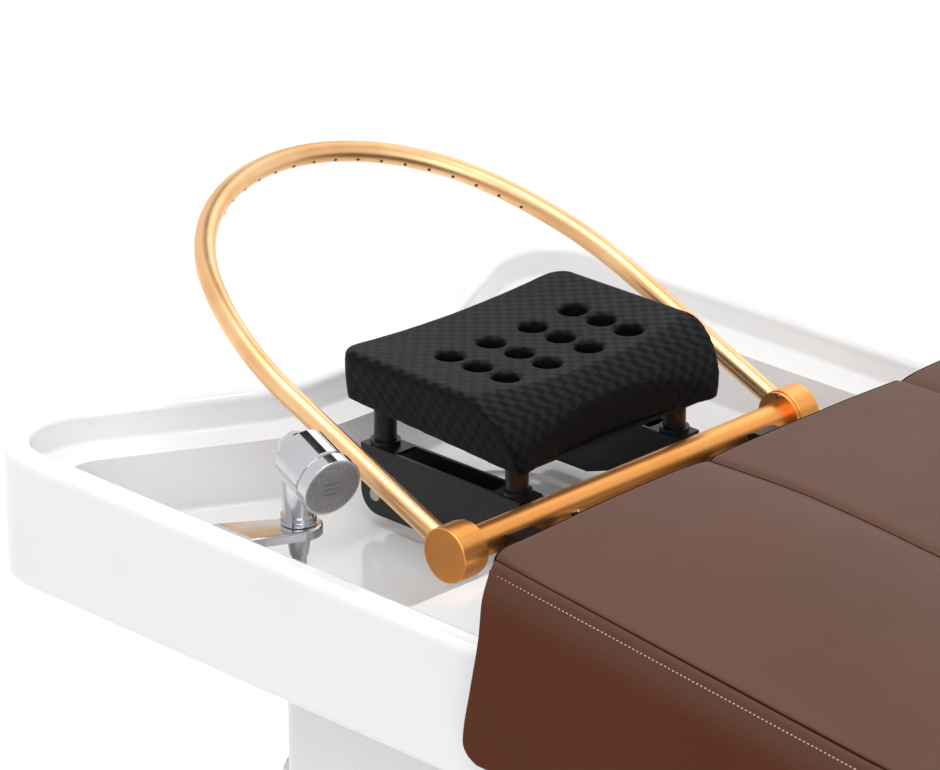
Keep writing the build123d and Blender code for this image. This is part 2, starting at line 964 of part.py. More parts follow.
def make_bridge_bolts():
    """Bolts that clamp the bridge and the basin deck to the cross member."""
    seat = ledge_z + bridge_thick
    low = frame_top_z - tube_wall - bridge_nut_thick
    return [
        upright(x, y, low, seat, bridge_bolt_radius)
        + hexagon((x, y, seat), (x, y, seat + bridge_bolt_head_thick), bridge_bolt_head)
        for x, y in bolt_places()
    ]


def make_bridge_nuts():
    """Nuts inside the cross member."""
    top = frame_top_z - tube_wall
    low = top - bridge_nut_thick
    return [
        hexagon((x, y, low), (x, y, top), bridge_nut_radius)
        - upright(x, y, low, top, bridge_bolt_radius)
        for x, y in bolt_places()
    ]


def make_supply_pipe():
    """Supply pipe from the valve up to the bar."""
    valve_x = valve_depth / 2 - pedestal_half_x + pedestal_wall
    points = [
        (0, -supply_y, supply_drop),
        (supply_x, -supply_y, supply_drop),
        (supply_x, -supply_y, supply_run_z),
        (valve_x, supply_outlet_y, supply_run_z),
        (valve_x, supply_outlet_y, valve_z[1]),
    ]
    body = pipe(points, supply_bend, supply_radius, supply_wall)
    return body - across(0, 0, -supply_y - cut_over, cut_over - supply_y, bar_radius)


def make_rail():
    """Headrest rail: upright plate below the bar with a foot on the bridge."""
    bridge_top = ledge_z + bridge_thick
    points = [
        (pivot_x, pivot_z - rail_end_radius),
        (rail_toe_x, rail_low_z),
        (rail_toe_x, bridge_top),
        (rail_foot_x, bridge_top),
        (rail_foot_x, rail_foot_top_z),
        (rail_rib_x + rail_foot_half, rail_rib_top_z),
        (rail_rib_x, rail_rib_top_z),
        (rail_rise_x, rail_top_z),
        (rail_taper_x, rail_top_z),
        (pivot_x, pivot_z + rail_end_radius),
    ]
    start = bracket_y - rail_thick / 2
    end = bracket_y + rail_thick / 2
    body = side_plate(points, start, end)
    body += across(pivot_x, pivot_z, start, end, rail_end_radius)
    low = bracket_y - rail_foot_half
    high = bracket_y + rail_foot_half
    body += block(rail_toe_x, rail_foot_x, low, high, bridge_top, rail_foot_top_z)
    body -= across(pivot_x, pivot_z, start, end, pivot_radius + close_fit)
    return body - combined(rail_screws())


def make_channel():
    """Inverted channel bracket with two top tabs and an open window between them."""
    points = [
        (channel_head_x, channel_low_z),
        (channel_bend_x, channel_low_z),
        (channel_bed_x, channel_bed_z),
        (channel_bed_x, channel_top_z),
        (channel_head_x, channel_top_z),
    ]
    start = bracket_y - channel_width / 2
    end = bracket_y + channel_width / 2
    body = side_plate(points, start, end)
    corner = body.edges().filter_by(Axis.Y).group_by(Axis.Z)[0].sort_by(Axis.X)[0]
    body = fillet(corner, channel_corner)
    hollow_low = start + channel_wall
    hollow_high = end - channel_wall
    roof = channel_top_z - channel_wall
    body -= block(
        channel_head_x - cut_over,
        channel_bed_x + cut_over,
        hollow_low,
        hollow_high,
        channel_low_z - cut_over,
        roof,
    )
    body -= block(window_head_x, window_bed_x, hollow_low, hollow_high, roof, channel_top_z)
    return body - across(pivot_x, pivot_z, start, end, pivot_radius)


def make_pivot_bolt():
    """Pivot bolt through a channel, its spacers and the rail."""
    start = bracket_y - channel_width / 2
    end = bracket_y + channel_width / 2
    shank = across(pivot_x, pivot_z, start - pivot_head_thick, end, pivot_radius)
    head = across(pivot_x, pivot_z, end, end + pivot_head_thick, pivot_head_radius)
    return shank + fillet(head.edges().sort_by(Axis.Y)[-1], pivot_head_round)


def make_pivot_nut():
    """Nut on the inner side of a channel."""
    start = (pivot_x, bracket_y - channel_width / 2 - pivot_head_thick, pivot_z)
    end = (pivot_x, bracket_y - channel_width / 2, pivot_z)
    nut = hexagon(start, end, pivot_nut_radius)
    return nut - rod(start, end, pivot_radius)


def make_spacers():
    """Two spacers that keep a rail in the middle of its channel."""
    inner = rail_thick / 2 + side_play
    outer = channel_width / 2 - channel_wall
    rings = []
    for side in (-1, 1):
        start = bracket_y + side * inner
        end = bracket_y + side * outer
        ring = across(pivot_x, pivot_z, start, end, spacer_radius)
        rings.append(ring - across(pivot_x, pivot_z, start, end, pivot_radius))
    return rings


def under_z(x):
    """Height of the pad's sloping underside."""
    slope = (pad_under_bed_z - pad_under_head_z) / (pad_bed_x - pad_head_x)
    return pad_under_head_z + slope * (x - pad_head_x)


def under_cut(drop):
    """Solid above the pad's underside, lowered by a drop."""
    head_x = pad_head_x - cut_over
    bed_x = pad_bed_x + cut_over
    top = pad_edge_z + cut_over
    points = [
        (head_x, under_z(head_x) - drop),
        (bed_x, under_z(bed_x) - drop),
        (bed_x, top),
        (head_x, top),
    ]
    return side_plate(points, -half_basin, half_basin)


def make_posts():
    """Four round posts with flared feet between the channels and the pad's plate."""
    posts = []
    for x in post_x:
        for side in (-1, 1):
            y = side * bracket_y
            post = upright(x, y, channel_top_z, pad_edge_z, post_radius)
            post += upright(x, y, channel_top_z, channel_top_z + post_flare_height, post_flare)
            posts.append(post - under_cut(pad_plate_thick))
    return posts


def pad_hole_places():
    """Plan places of the pad's drain holes."""
    return [(x, side * y) for x in pad_hole_x for y in pad_hole_y for side in (-1, 1)]


def make_pad_plate():
    """Steel plate below the pad, sloping with its underside."""
    plate = block(
        pad_head_x + pad_plate_inset,
        pad_bed_x - pad_plate_inset,
        -pad_plate_half,
        pad_plate_half,
        0,
        pad_edge_z,
    )
    plate = plate & (under_cut(pad_plate_thick) - under_cut(0))
    holes = [upright(x, y, 0, pad_edge_z, pad_hole_radius) for x, y in pad_hole_places()]
    return plate - combined(holes)


def pad_saddle():
    """Pad section: sides drawn in below and a dished top."""
    low = pad_under_bed_z - cut_over
    near_low = (-pad_side_low, low)
    far_low = (pad_side_low, low)
    near_top = (-pad_side_top, pad_edge_z)
    far_top = (pad_side_top, pad_edge_z)
    wire = Wire(
        [
            Line(near_low, far_low),
            Line(far_low, far_top),
            ThreePointArc(far_top, (0, pad_middle_z), near_top),
            Line(near_top, near_low),
        ]
    )
    return cross_plate(wire, pad_head_x, pad_bed_x)


def pad_front():
    """Side view of the pad: sloping underside and a front lip that rolls down."""
    top = pad_edge_z + cut_over
    roll_low = (pad_bed_x, pad_front_z)
    roll_high = (pad_roll_x, pad_edge_z)
    middle = (
        pad_roll_x + (pad_bed_x - pad_roll_x) * pad_roll_share,
        pad_front_z + (pad_edge_z - pad_front_z) * pad_roll_share,
    )
    wire = Wire(
        [
            Line((pad_head_x, pad_under_head_z), (pad_bed_x, pad_under_bed_z)),
            Line((pad_bed_x, pad_under_bed_z), roll_low),
            ThreePointArc(roll_low, middle, roll_high),
            Line(roll_high, (pad_roll_x, top)),
            Line((pad_roll_x, top), (pad_head_x, top)),
            Line((pad_head_x, top), (pad_head_x, pad_under_head_z)),
        ]
    )
    face = Plane.XZ.offset(half_basin) * make_face(wire)
    return extrude(face, 2 * half_basin, dir=(0, 1, 0))


def pad_top(body):
    """Dished top face of the pad."""
    return body.faces().filter_by(GeomType.CYLINDER).sort_by(SortBy.AREA)[-1]


def pad_blank():
    """Pad before its holes, with the rim of its top rounded."""
    plan = Pos((pad_head_x + pad_bed_x) / 2, 0) * RectangleRounded(
        pad_bed_x - pad_head_x, 2 * pad_side_top, pad_corner
    )
    body = slab(plan, 0, pad_edge_z + cut_over) & pad_saddle() & pad_front()
    rim = pad_top(body).edges()
    side_y = pad_side_top - seat_gap
    body = fillet([edge for edge in rim if abs(edge.center().Y) > side_y], pad_edge_round)
    rim = pad_top(body).edges()
    head_x = pad_head_x + pad_corner
    return fillet([edge for edge in rim if edge.center().X < head_x], pad_edge_round)


def make_pad():
    """Moulded head pad with twelve drain holes and rounded hole lips."""
    body = pad_blank()
    dip_radius = pad_side_low**2 / (2 * pad_front_dip)
    body -= upright(pad_bed_x - pad_front_dip + dip_radius, 0, 0, pad_edge_z, dip_radius)
    holes = [upright(x, y, 0, pad_edge_z, pad_hole_radius) for x, y in pad_hole_places()]
    body -= combined(holes)
    lips = [edge for wire in pad_top(body).inner_wires() for edge in wire.edges()]
    return fillet(lips, pad_hole_lip)


def handset_point(reach):
    """Point along the handset head's axis."""
    start = Vector(handset_x, handset_y, handset_axis_z)
    return tuple(start + Vector(*handset_axis_shares).normalized() * reach)


def head_plane(reach):
    """Plane square to the head's axis, with its first axis level."""
    way = Vector(*handset_axis_shares)
    return Plane(origin=handset_point(reach), x_dir=Vector(0, 0, 1).cross(way), z_dir=way)


def make_handset():
    """Handset body: stem, elbow and round head in one casting."""
    head_start = head_reach_length - head_band
    body = upright(handset_x, handset_y, stem_foot_z, handset_axis_z, stem_radius)
    body += Pos(handset_x, handset_y, handset_axis_z) * Sphere(elbow_radius)
    cone_length = head_start - seam_width - head_cone_start
    cone = Cone(elbow_radius, head_radius - seam_depth, cone_length, align=BASE)
    body += head_plane(head_cone_start) * cone
    neck_radius = head_radius - 2 * seam_depth
    body += rod(handset_point(head_cone_start), handset_point(head_start), neck_radius)
    band = rod(handset_point(head_start), handset_point(head_reach_length), head_radius)
    body += fillet(band.edges().filter_by(GeomType.CIRCLE), seam_depth)
    face_start = head_reach_length - face_thick
    body -= rod(handset_point(face_start), handset_point(head_reach_length), face_radius)
    stem_bore = stem_radius - stem_wall
    body -= upright(handset_x, handset_y, stem_foot_z, handset_axis_z, stem_bore + close_fit)
    return body - rod(handset_point(0), handset_point(face_start), stem_bore)


def make_spray_face():
    """Spray face with rings of small dots and a slotted centre."""
    start = head_reach_length - face_thick
    body = rod(handset_point(start), handset_point(head_reach_length), face_radius)
    front = head_plane(head_reach_length)
    dot = Cylinder(face_dot_radius, 2 * face_dot_depth, align=BASE)
    dots = []
    for reach, count in zip(face_dot_ring_radii, face_dot_counts):
        for number in range(count):
            turn = radians(number * 360 / count)
            place = Pos(reach * cos(turn), reach * sin(turn), -face_dot_depth)
            dots.append(front * place * dot)
    slot = SlotOverall(2 * face_slot_half, face_slot_width)
    for step in (-1, 0, 1):
        place = Pos(0, step * face_slot_step, -face_dot_depth)
        dots.append(extrude(front * place * slot, 2 * face_dot_depth))
    return body - combined(dots)


def make_collar():
    """Collar between the hose nut and the stem, with one turned groove."""
    low = holder_top_z + seat_gap
    middle = (stem_foot_z + low) / 2
    groove_top = middle + collar_groove
    body = upright(handset_x, handset_y, low, stem_foot_z, collar_radius)
    body = fillet(body.edges().group_by(Axis.Z)[0], collar_round)
    groove = upright(handset_x, handset_y, middle, groove_top, collar_radius + cut_over)
    groove -= upright(handset_x, handset_y, middle, groove_top, collar_radius - collar_groove)
    body -= groove
    return body - upright(handset_x, handset_y, low, stem_foot_z, nut_spigot_radius + close_fit)


def make_hose_nut():
    """Tapered hose nut with the spigot that the handset turns on."""
    taper = nut_taper_top_z - nut_foot_z
    cone = Cone(nut_low_radius, nut_top_radius, taper, align=BASE)
    body = Pos(handset_x, handset_y, nut_foot_z) * cone
    body += upright(handset_x, handset_y, nut_taper_top_z, holder_top_z, nut_top_radius)
    body += upright(handset_x, handset_y, holder_top_z, nut_spigot_top_z, nut_spigot_radius)
    return body - upright(handset_x, handset_y, nut_foot_z, nut_spigot_top_z, nut_bore)


def make_hose():
    """Ribbed metal hose below the handset."""
    plain = 2 * hose_radius
    start = nut_foot_z - plain
    ribs = int((start - hose_foot_z - plain) / hose_rib_pitch)
    rings = [(nut_foot_z, hose_radius), (start, hose_radius)]
    for number in range(ribs):
        top = start - number * hose_rib_pitch
        for share, crest in hose_rib_shares:
            radius = hose_root_radius + crest * (hose_radius - hose_root_radius)
            rings.append((top - share * hose_rib_pitch, radius))
    rings.append((hose_foot_z, hose_radius))
    wires = [Pos(handset_x, handset_y, z) * Wire.make_circle(radius) for z, radius in rings]
    body = Solid.make_loft(wires, ruled=True)
    return body - upright(handset_x, handset_y, hose_foot_z, nut_foot_z, hose_bore)


def make_grommet():
    """Grommet that guides the hose through the basin floor."""
    low = bowl_floor_z - basin_wall
    top = bowl_floor_z + grommet_flange_thick
    body = upright(handset_x, handset_y, low, bowl_floor_z, grommet_radius)
    body += upright(handset_x, handset_y, bowl_floor_z, top, grommet_flange)
    return body - upright(handset_x, handset_y, low, top, hose_radius + seat_gap)


def feed_points():
    """Route of the handset's feed pipe from the valve to the sleeve."""
    valve_x = valve_depth / 2 - pedestal_half_x + pedestal_wall
    return [
        (valve_x, handset_feed_y, valve_z[1]),
        (valve_x, handset_feed_y, handset_feed_z),
        (handset_x, handset_y, handset_feed_z),
    ]


def make_sleeve():
    """Closed sleeve below the basin floor that takes the hose."""
    top = bowl_floor_z - basin_wall
    body = upright(handset_x, handset_y, sleeve_foot_z, top, sleeve_radius)
    body -= upright(handset_x, handset_y, sleeve_foot_z + sleeve_cap, top, sleeve_bore)
    return body - rod(feed_points()[1], feed_points()[2], supply_radius - supply_wall)


def make_feed_pipe():
    """Feed pipe from the valve to the handset's sleeve."""
    body = pipe(feed_points(), feed_bend, supply_radius, supply_wall)
    return body - upright(handset_x, handset_y, sleeve_foot_z, ledge_z, sleeve_radius)


def make_holder():
    """Holder arm from the basin's near wall to the ring below the handset."""
    wall = holder_wall_y()
    ring = Pos(handset_x, handset_y) * Circle(holder_ring_radius)
    root_head, root_bed = holder_root_x
    half = holder_ring_radius * cos(radians(holder_arm_angle))
    y = handset_y - holder_ring_radius * sin(radians(holder_arm_angle))
    ends = [(handset_x + half, y), (handset_x - half, y)]
    arm = Polygon((root_head, wall), (root_bed, wall), *ends, align=None)
    body = slab(arm + ring, holder_low_z, holder_top_z)
    body = fillet(body.edges().group_by(Axis.Z)[-1], holder_edge_round)
    plate_y = wall + holder_plate_thick
    body += block(root_head, root_bed, wall, plate_y, holder_plate_low_z, holder_plate_top_z)
    body -= upright(handset_x, handset_y, holder_low_z, holder_top_z, nut_top_radius + seat_gap)
    return body - holder_screw_shanks()


def make_holder_screws():
    """Two screws that hold the arm on the basin's wall."""
    inner = holder_wall_y() + holder_plate_thick
    return [
        across(x, z, inner - holder_screw_length, inner, holder_screw_radius)
        + across(x, z, inner, inner + holder_screw_head_thick, holder_screw_head)
        for x, z in holder_screw_places()
    ]


def valve_face_x():
    """Inner face of the pedestal's head-end wall."""
    return pedestal_wall - pedestal_half_x


def make_valve():
    """Mixing and diverting valve body with two threaded necks."""
    face = valve_face_x()
    body = block(face, face + valve_depth, *valve_y, *valve_z)
    body = fillet(body.edges().filter_by(Axis.Y), pedestal_wall)
    middle = (valve_z[0] + valve_z[1]) / 2
    mouth = face - valve_neck_reach
    for y in knob_y:
        body += rod((face, y, middle), (mouth, y, middle), valve_neck)
        end = (mouth + spindle_depth, y, middle)
        body -= rod((mouth, y, middle), end, spindle_radius + close_fit)
    return body


def make_valve_nuts():
    """Panel nuts that clamp the valve to the pedestal wall."""
    outer = -pedestal_half_x
    middle = (valve_z[0] + valve_z[1]) / 2
    nuts = []
    for y in knob_y:
        start = (outer - panel_nut_thick, y, middle)
        nut = hexagon(start, (outer, y, middle), panel_nut_radius)
        nuts.append(nut - rod(start, (outer, y, middle), valve_neck))
    return nuts


def make_knob(y):
    """Round control knob with finger grooves and its spindle."""
    middle = (valve_z[0] + valve_z[1]) / 2
    inner = valve_face_x() - valve_neck_reach - seat_gap
    outer = inner - knob_thick
    body = rod((outer, y, middle), (inner, y, middle), knob_radius)
    body = fillet(body.edges().filter_by(GeomType.CIRCLE), knob_round)
    grooves = []
    for number in range(knob_grip_count):
        turn = radians(number * 360 / knob_grip_count)
        groove_y = y + (knob_radius + knob_grip_out) * cos(turn)
        groove_z = middle + (knob_radius + knob_grip_out) * sin(turn)
        start = (outer - cut_over, groove_y, groove_z)
        grooves.append(rod(start, (inner - knob_collar, groove_y, groove_z), knob_grip_radius))
    body -= combined(grooves)
    end = inner + spindle_depth - seat_gap
    return body + rod((inner, y, middle), (end, y, middle), spindle_radius)


def make_tails():
    """Hot and cold inlet tails from the valve down to the floor."""
    x = valve_face_x() + valve_depth / 2
    tails = []
    neck_z = valve_z[0] - tail_neck_length
    for y in tail_y:
        tail = upright(x, y, floor_z, neck_z, tail_radius)
        tail += upright(x, y, neck_z, valve_z[0], tail_neck_radius)
        tails.append(tail - upright(x, y, floor_z, valve_z[0], tail_radius - tail_wall))
    return tails


def pedestal_outline(inset):
    """Plan outline of the pedestal drawn in by an inset."""
    width = 2 * (pedestal_half_x - inset)
    depth = 2 * (pedestal_half_y - inset)
    return RectangleRounded(width, depth, pedestal_corner - inset)


def make_pedestal():
    """Hollow pedestal shell with its door opening and pipe holes."""
    top = pedestal_top_z - pedestal_wall
    body = slab(pedestal_outline(0), pedestal_foot_z, top)
    body -= slab(pedestal_outline(pedestal_wall), pedestal_foot_z, top)
    opening = block(
        door_lap - door_half,
        door_half - door_lap,
        0,
        pedestal_half_y + cut_over,
        door_z[0] + door_lap,
        door_z[1] - door_lap,
    )
    middle = (valve_z[0] + valve_z[1]) / 2
    necks = [rod((-pedestal_half_x - cut_over, y, middle), (0, y, middle), valve_neck) for y in knob_y]
    feed = rod(feed_points()[1], feed_points()[2], supply_radius + seat_gap)
    return body - opening - combined(necks) - feed


def make_pedestal_top():
    """Top plate below the bowl, with the risers that meet the cross member."""
    low = pedestal_top_z - pedestal_wall
    body = slab(pedestal_outline(0), low, pedestal_top_z)
    body -= upright(drain_x, 0, low, pedestal_top_z, drain_nut_radius + close_fit)
    body -= upright(supply_x, -supply_y, low, pedestal_top_z, supply_slot)
    riser_top = frame_top_z - tube_size
    riser_end_x = cross_head_x + tube_size
    for side in (-1, 1):
        near = side * (riser_half - tube_size)
        far = side * riser_half
        body += block(cross_head_x, riser_end_x, near, far, pedestal_top_z, riser_top)
    return body


def make_pedestal_base():
    """Base plate inside the pedestal with the pipe holes."""
    low = pedestal_foot_z
    top = low + base_thick
    body = slab(pedestal_outline(pedestal_wall), low, top)
    body -= upright(waste_x, 0, low, top, waste_radius + pipe_hole_gap)
    x = valve_face_x() + valve_depth / 2
    for y in tail_y:
        body -= upright(x, y, low, top, tail_radius + pipe_hole_gap)
    for px in (-pedestal_pad_x, pedestal_pad_x):
        for py in (-pedestal_pad_y, pedestal_pad_y):
            body -= upright(px, py, low, top, foot_stud_radius)
    return body


def hinge_y():
    """Place of the door's hinge axis outside the far wall."""
    return pedestal_half_y + hinge_out


def make_door():
    """Access door with a finger hole and two hinge knuckles."""
    inner = pedestal_half_y + seat_gap
    outer = inner + door_thick
    body = block(-door_half, door_half, inner, outer, *door_z)
    body = fillet(body.edges().filter_by(Axis.Y), door_round)
    middle = (door_z[0] + door_z[1]) / 2
    body -= across(pull_inset - door_half, middle, inner - cut_over, outer + cut_over, pull_radius)
    leaf_x = door_half - hinge_leaf
    leaf_y = outer - hinge_leaf_thick
    for z in hinge_z:
        low = z + hinge_play
        high = z + hinge_half
        body += block(leaf_x, hinge_x, leaf_y, hinge_y(), low, high)
        body += upright(hinge_x, hinge_y(), low, high, hinge_radius)
        body -= upright(hinge_x, hinge_y(), z - hinge_half, high, hinge_pin + close_fit)
    return body


def make_hinges():
    """Fixed hinge leaves with their pins."""
    hinges = []
    for z in hinge_z:
        low = z - hinge_half
        leaf_y = pedestal_half_y + hinge_leaf_thick
        leaf = block(hinge_x, hinge_x + hinge_leaf, pedestal_half_y, leaf_y, low, z)
        leaf += block(hinge_x, hinge_x + hinge_radius, pedestal_half_y, hinge_y(), low, z)
        leaf += upright(hinge_x, hinge_y(), low, z, hinge_radius)
        leaf += upright(hinge_x, hinge_y(), z, z + hinge_half, hinge_pin)
        hinges.append(leaf)
    return hinges


def make_catch():
    """Magnetic catch below the door opening's upper edge."""
    top = door_z[1] - door_lap
    inner = pedestal_half_y - pedestal_wall
    back = inner - catch_depth
    end_x = catch_x + catch_width
    body = block(catch_x, end_x, back, inner, top, top + catch_drop)
    return body + block(catch_x, end_x, back, pedestal_half_y, top - catch_drop, top)


def square_tube(x0, x1, y0, y1, z0, z1, way):
    """Open square tube between two corners, running along one axis."""
    outer = block(x0, x1, y0, y1, z0, z1)
    trims = [0 if axis == way else tube_wall for axis in "xyz"]
    inner = block(
        x0 + trims[0], x1 - trims[0], y0 + trims[1], y1 - trims[1], z0 + trims[2], z1 - trims[2]
    )
    return outer - inner


def make_head_cross_member():
    """Cross member below the basin deck, bored for the bridge bolts."""
    low = frame_top_z - tube_size
    end = cross_head_x + tube_size
    body = square_tube(cross_head_x, end, -cross_head_half, cross_head_half, low, frame_top_z, "y")
    holes = [
        upright(x, y, frame_top_z - tube_wall, frame_top_z, bridge_bolt_radius)
        for x, y in bolt_places()
    ]
    return body - combined(holes)


def make_frame_rail():
    """Long rail of the bed frame."""
    low = frame_top_z - tube_size
    start = cross_head_x + tube_size
    inner = rail_centre_y - tube_size / 2
    return square_tube(start, frame_rail_end_x, inner, inner + tube_size, low, frame_top_z, "x")


def make_cross_members():
    """Cross members between the rails and the stretchers between the legs."""
    half = tube_size / 2
    reach = rail_centre_y - half
    places = [(x, frame_top_z) for x in cross_x] + [(x, stretcher_top_z) for x in leg_x]
    return [
        square_tube(x - half, x + half, -reach, reach, top - tube_size, top, "y") for x, top in places
    ]


def make_leg(x):
    """Leg below a frame rail, closed at its foot round the stud."""
    half = tube_size / 2
    top = frame_top_z - tube_size
    low_y = rail_centre_y - half
    high_y = rail_centre_y + half
    body = square_tube(x - half, x + half, low_y, high_y, leg_foot_z, top, "z")
    body += block(x - half, x + half, low_y, high_y, leg_foot_z, leg_foot_z + tube_wall)
    return body - upright(x, rail_centre_y, leg_foot_z, leg_foot_z + tube_wall, foot_stud_radius)


def foot_places():
    """Plan places and seat heights of all levelling feet."""
    pedestal = [(x, pedestal_pad_y, pedestal_foot_z) for x in (-pedestal_pad_x, pedestal_pad_x)]
    legs = [(x, rail_centre_y, leg_foot_z) for x in leg_x]
    return pedestal + legs


def make_foot(x, y, seat):
    """Levelling foot: pad on the floor with its stud up into the leg or base."""
    pad = upright(x, y, floor_z, floor_z + foot_pad_thick, foot_pad_radius)
    pad = fillet(pad.edges().group_by(Axis.Z)[-1], foot_pad_round)
    pad += upright(x, y, floor_z + foot_pad_thick, seat + foot_stud_length, foot_stud_radius)
    return pad


def make_boards():
    """Side boards and the foot board below the top board."""
    outer = half_bed - leather_thick
    inner = outer - board_thick
    side = block(board_head_x, board_end_x, inner, outer, board_low_z, top_board_z)
    foot = block(board_end_x - board_thick, board_end_x, -inner, inner, board_low_z, top_board_z)
    return both_sides(side) + [foot]


def make_top_board():
    """Board that carries the cushion."""
    outer = half_bed - leather_thick
    top = top_board_z + board_thick
    return block(top_board_head_x, board_end_x, -outer, outer, top_board_z, top)


def make_battens():
    """Cross battens between the rails and the top board."""
    reach = half_bed - leather_thick - board_thick
    half = batten_width / 2
    step = (frame_rail_end_x - batten_head_x) / (batten_count - 1)
    places = [batten_head_x + number * step for number in range(batten_count)]
    return [block(x - half, x + half, -reach, reach, frame_top_z, top_board_z) for x in places]


def cushion_section(x, edge, groove, middle, crown):
    """Cushion outline at one place along the bed."""
    side = half_bed - leather_thick - top_side_gap
    low = top_board_z + board_thick
    outer = top_groove_y + top_groove_half
    inner = top_groove_y - top_groove_half
    panel = (side + outer) / 2
    panel_z = (edge + groove) / 2 + crown
    dip = groove - top_groove_depth
    edges = [
        Line((-side, low), (side, low)),
        Line((side, low), (side, edge)),
        ThreePointArc((side, edge), (panel, panel_z), (outer, groove)),
        ThreePointArc((outer, groove), (top_groove_y, dip), (inner, groove)),
        ThreePointArc((inner, groove), (0, middle), (-inner, groove)),
        ThreePointArc((-inner, groove), (-top_groove_y, dip), (-outer, groove)),
        ThreePointArc((-outer, groove), (-panel, panel_z), (-side, edge)),
        Line((-side, edge), (-side, low)),
    ]
    return Plane.YZ.offset(x) * Wire(edges)


def make_cushion():
    """Top cushion with two sewn channels, falling towards its sides."""
    return Solid.make_loft([cushion_section(*place) for place in top_sections], ruled=True)


def make_side_skirt():
    """Upholstered side panel with the shaped head-end edge."""
    points = list(head_outline) + [
        (foot_reach, skirt_low_z),
        (foot_reach, seam_fall_z),
        (seam_fall_x, seam_fall_z),
    ]
    return side_plate(points, half_bed - leather_thick, half_bed)


def make_foot_skirt():
    """Upholstered panel across the foot end."""
    outer = half_bed - leather_thick
    return block(board_end_x, foot_reach, -outer, outer, skirt_low_z, seam_fall_z)


def fixed_sub_parts():
    """Basin, drain, carriers, frame and upholstery."""
    save("basin", make_basin())
    save("drain_flange", make_drain_flange())
    save("drain_gasket", make_gasket())
    save("drain_locknut", make_locknut())
    save("hair_strainer", make_strainer())
    save("bottle_trap", make_trap())
    save("waste_pipe", make_waste_pipe())
    save("arch_bar", make_bar())
    save("bar_saddles", *both_sides(make_saddle()))
    save("carrier_screws", *bar_screws(), *saddle_screws(), *rail_screws())
    save("arch_supply_pipe", make_supply_pipe())
    save("support_bridge", make_bridge())
    save("bridge_bolts", *make_bridge_bolts())
    save("bridge_nuts", *make_bridge_nuts())
    save("headrest_rails", *both_sides(make_rail()))


def frame_sub_parts():
    """Pedestal, steel frame, boards and upholstery."""
    save("pedestal_shell", make_pedestal())
    save("pedestal_top_plate", make_pedestal_top())
    save("pedestal_base", make_pedestal_base())
    save("access_door", make_door())
    save("door_hinges", *make_hinges())
    save("door_catch", make_catch())
    save("head_cross_member", make_head_cross_member())
    save("frame_rails", *both_sides(make_frame_rail()))
    save("cross_members", *make_cross_members())
    legs = [make_leg(x) for x in leg_x]
    save("bed_legs", *legs, *[mirrored(leg) for leg in legs])
    feet = [make_foot(*place) for place in foot_places()]
    save("levelling_feet", *feet, *[mirrored(foot) for foot in feet])
    save("skirt_boards", *make_boards())
    save("top_board", make_top_board())
    save("cross_battens", *make_battens())
    save("mattress_top", make_cushion())
    save("side_skirts", *both_sides(make_side_skirt()))
    save("foot_skirt", make_foot_skirt())


def moving_sub_parts():
    """Spray arch, headrest and handset."""
    save("end_caps", *both_sides(make_cap()))
    save("cap_rings", *both_sides(make_cap_ring()))
    cap_screws = make_cap_screws()
    save("cap_screws", *cap_screws, *[mirrored(item) for item in cap_screws])
    save("swivel_bushes", *both_sides(make_bush()))
    save("arch_tube", make_arch())
    save("spray_jets", *make_jets())
    save("headrest_channels", *both_sides(make_channel()))
    save("pivot_bolts", *both_sides(make_pivot_bolt()))
    save("pivot_nuts", *both_sides(make_pivot_nut()))
    spacers = make_spacers()
    save("pivot_spacers", *spacers, *[mirrored(item) for item in spacers])
    save("headrest_posts", *make_posts())
    save("pad_plate", make_pad_plate())
    save("headrest_pad", make_pad())
    save("handset_body", make_handset())
    save("spray_face", make_spray_face())
    save("handset_collar", make_collar())
    save("hose_nut", make_hose_nut())
    save("shower_hose", make_hose())
    save("hose_grommet", make_grommet())
    save("hose_sleeve", make_sleeve())
    save("handset_feed_pipe", make_feed_pipe())
    save("handset_holder", make_holder())
    save("holder_screws", *make_holder_screws())
    save("mixer_valve", make_valve())
    save("valve_nuts", *make_valve_nuts())
    save("temperature_knob", make_knob(knob_y[0]))
    save("diverter_knob", make_knob(knob_y[1]))
    save("inlet_tails", *make_tails())


os.makedirs("parts", exist_ok=True)
fixed_sub_parts()
moving_sub_parts()
frame_sub_parts()
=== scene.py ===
import json
from math import cos, exp, pi, sin, sqrt
import bmesh
import bpy
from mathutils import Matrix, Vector, noise


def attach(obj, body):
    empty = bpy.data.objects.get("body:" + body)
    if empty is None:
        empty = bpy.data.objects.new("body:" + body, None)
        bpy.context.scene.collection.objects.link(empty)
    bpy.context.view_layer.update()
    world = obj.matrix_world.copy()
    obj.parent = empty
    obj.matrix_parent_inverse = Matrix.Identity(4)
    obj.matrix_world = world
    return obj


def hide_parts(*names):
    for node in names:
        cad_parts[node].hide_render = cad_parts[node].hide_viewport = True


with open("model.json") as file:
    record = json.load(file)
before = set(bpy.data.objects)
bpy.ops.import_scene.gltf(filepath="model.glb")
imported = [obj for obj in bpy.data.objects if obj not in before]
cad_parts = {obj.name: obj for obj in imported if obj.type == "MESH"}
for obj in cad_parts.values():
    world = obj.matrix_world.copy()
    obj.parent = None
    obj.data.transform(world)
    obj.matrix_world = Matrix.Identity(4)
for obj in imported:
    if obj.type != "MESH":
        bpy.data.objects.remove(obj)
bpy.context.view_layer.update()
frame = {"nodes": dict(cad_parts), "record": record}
nodes = frame["nodes"]

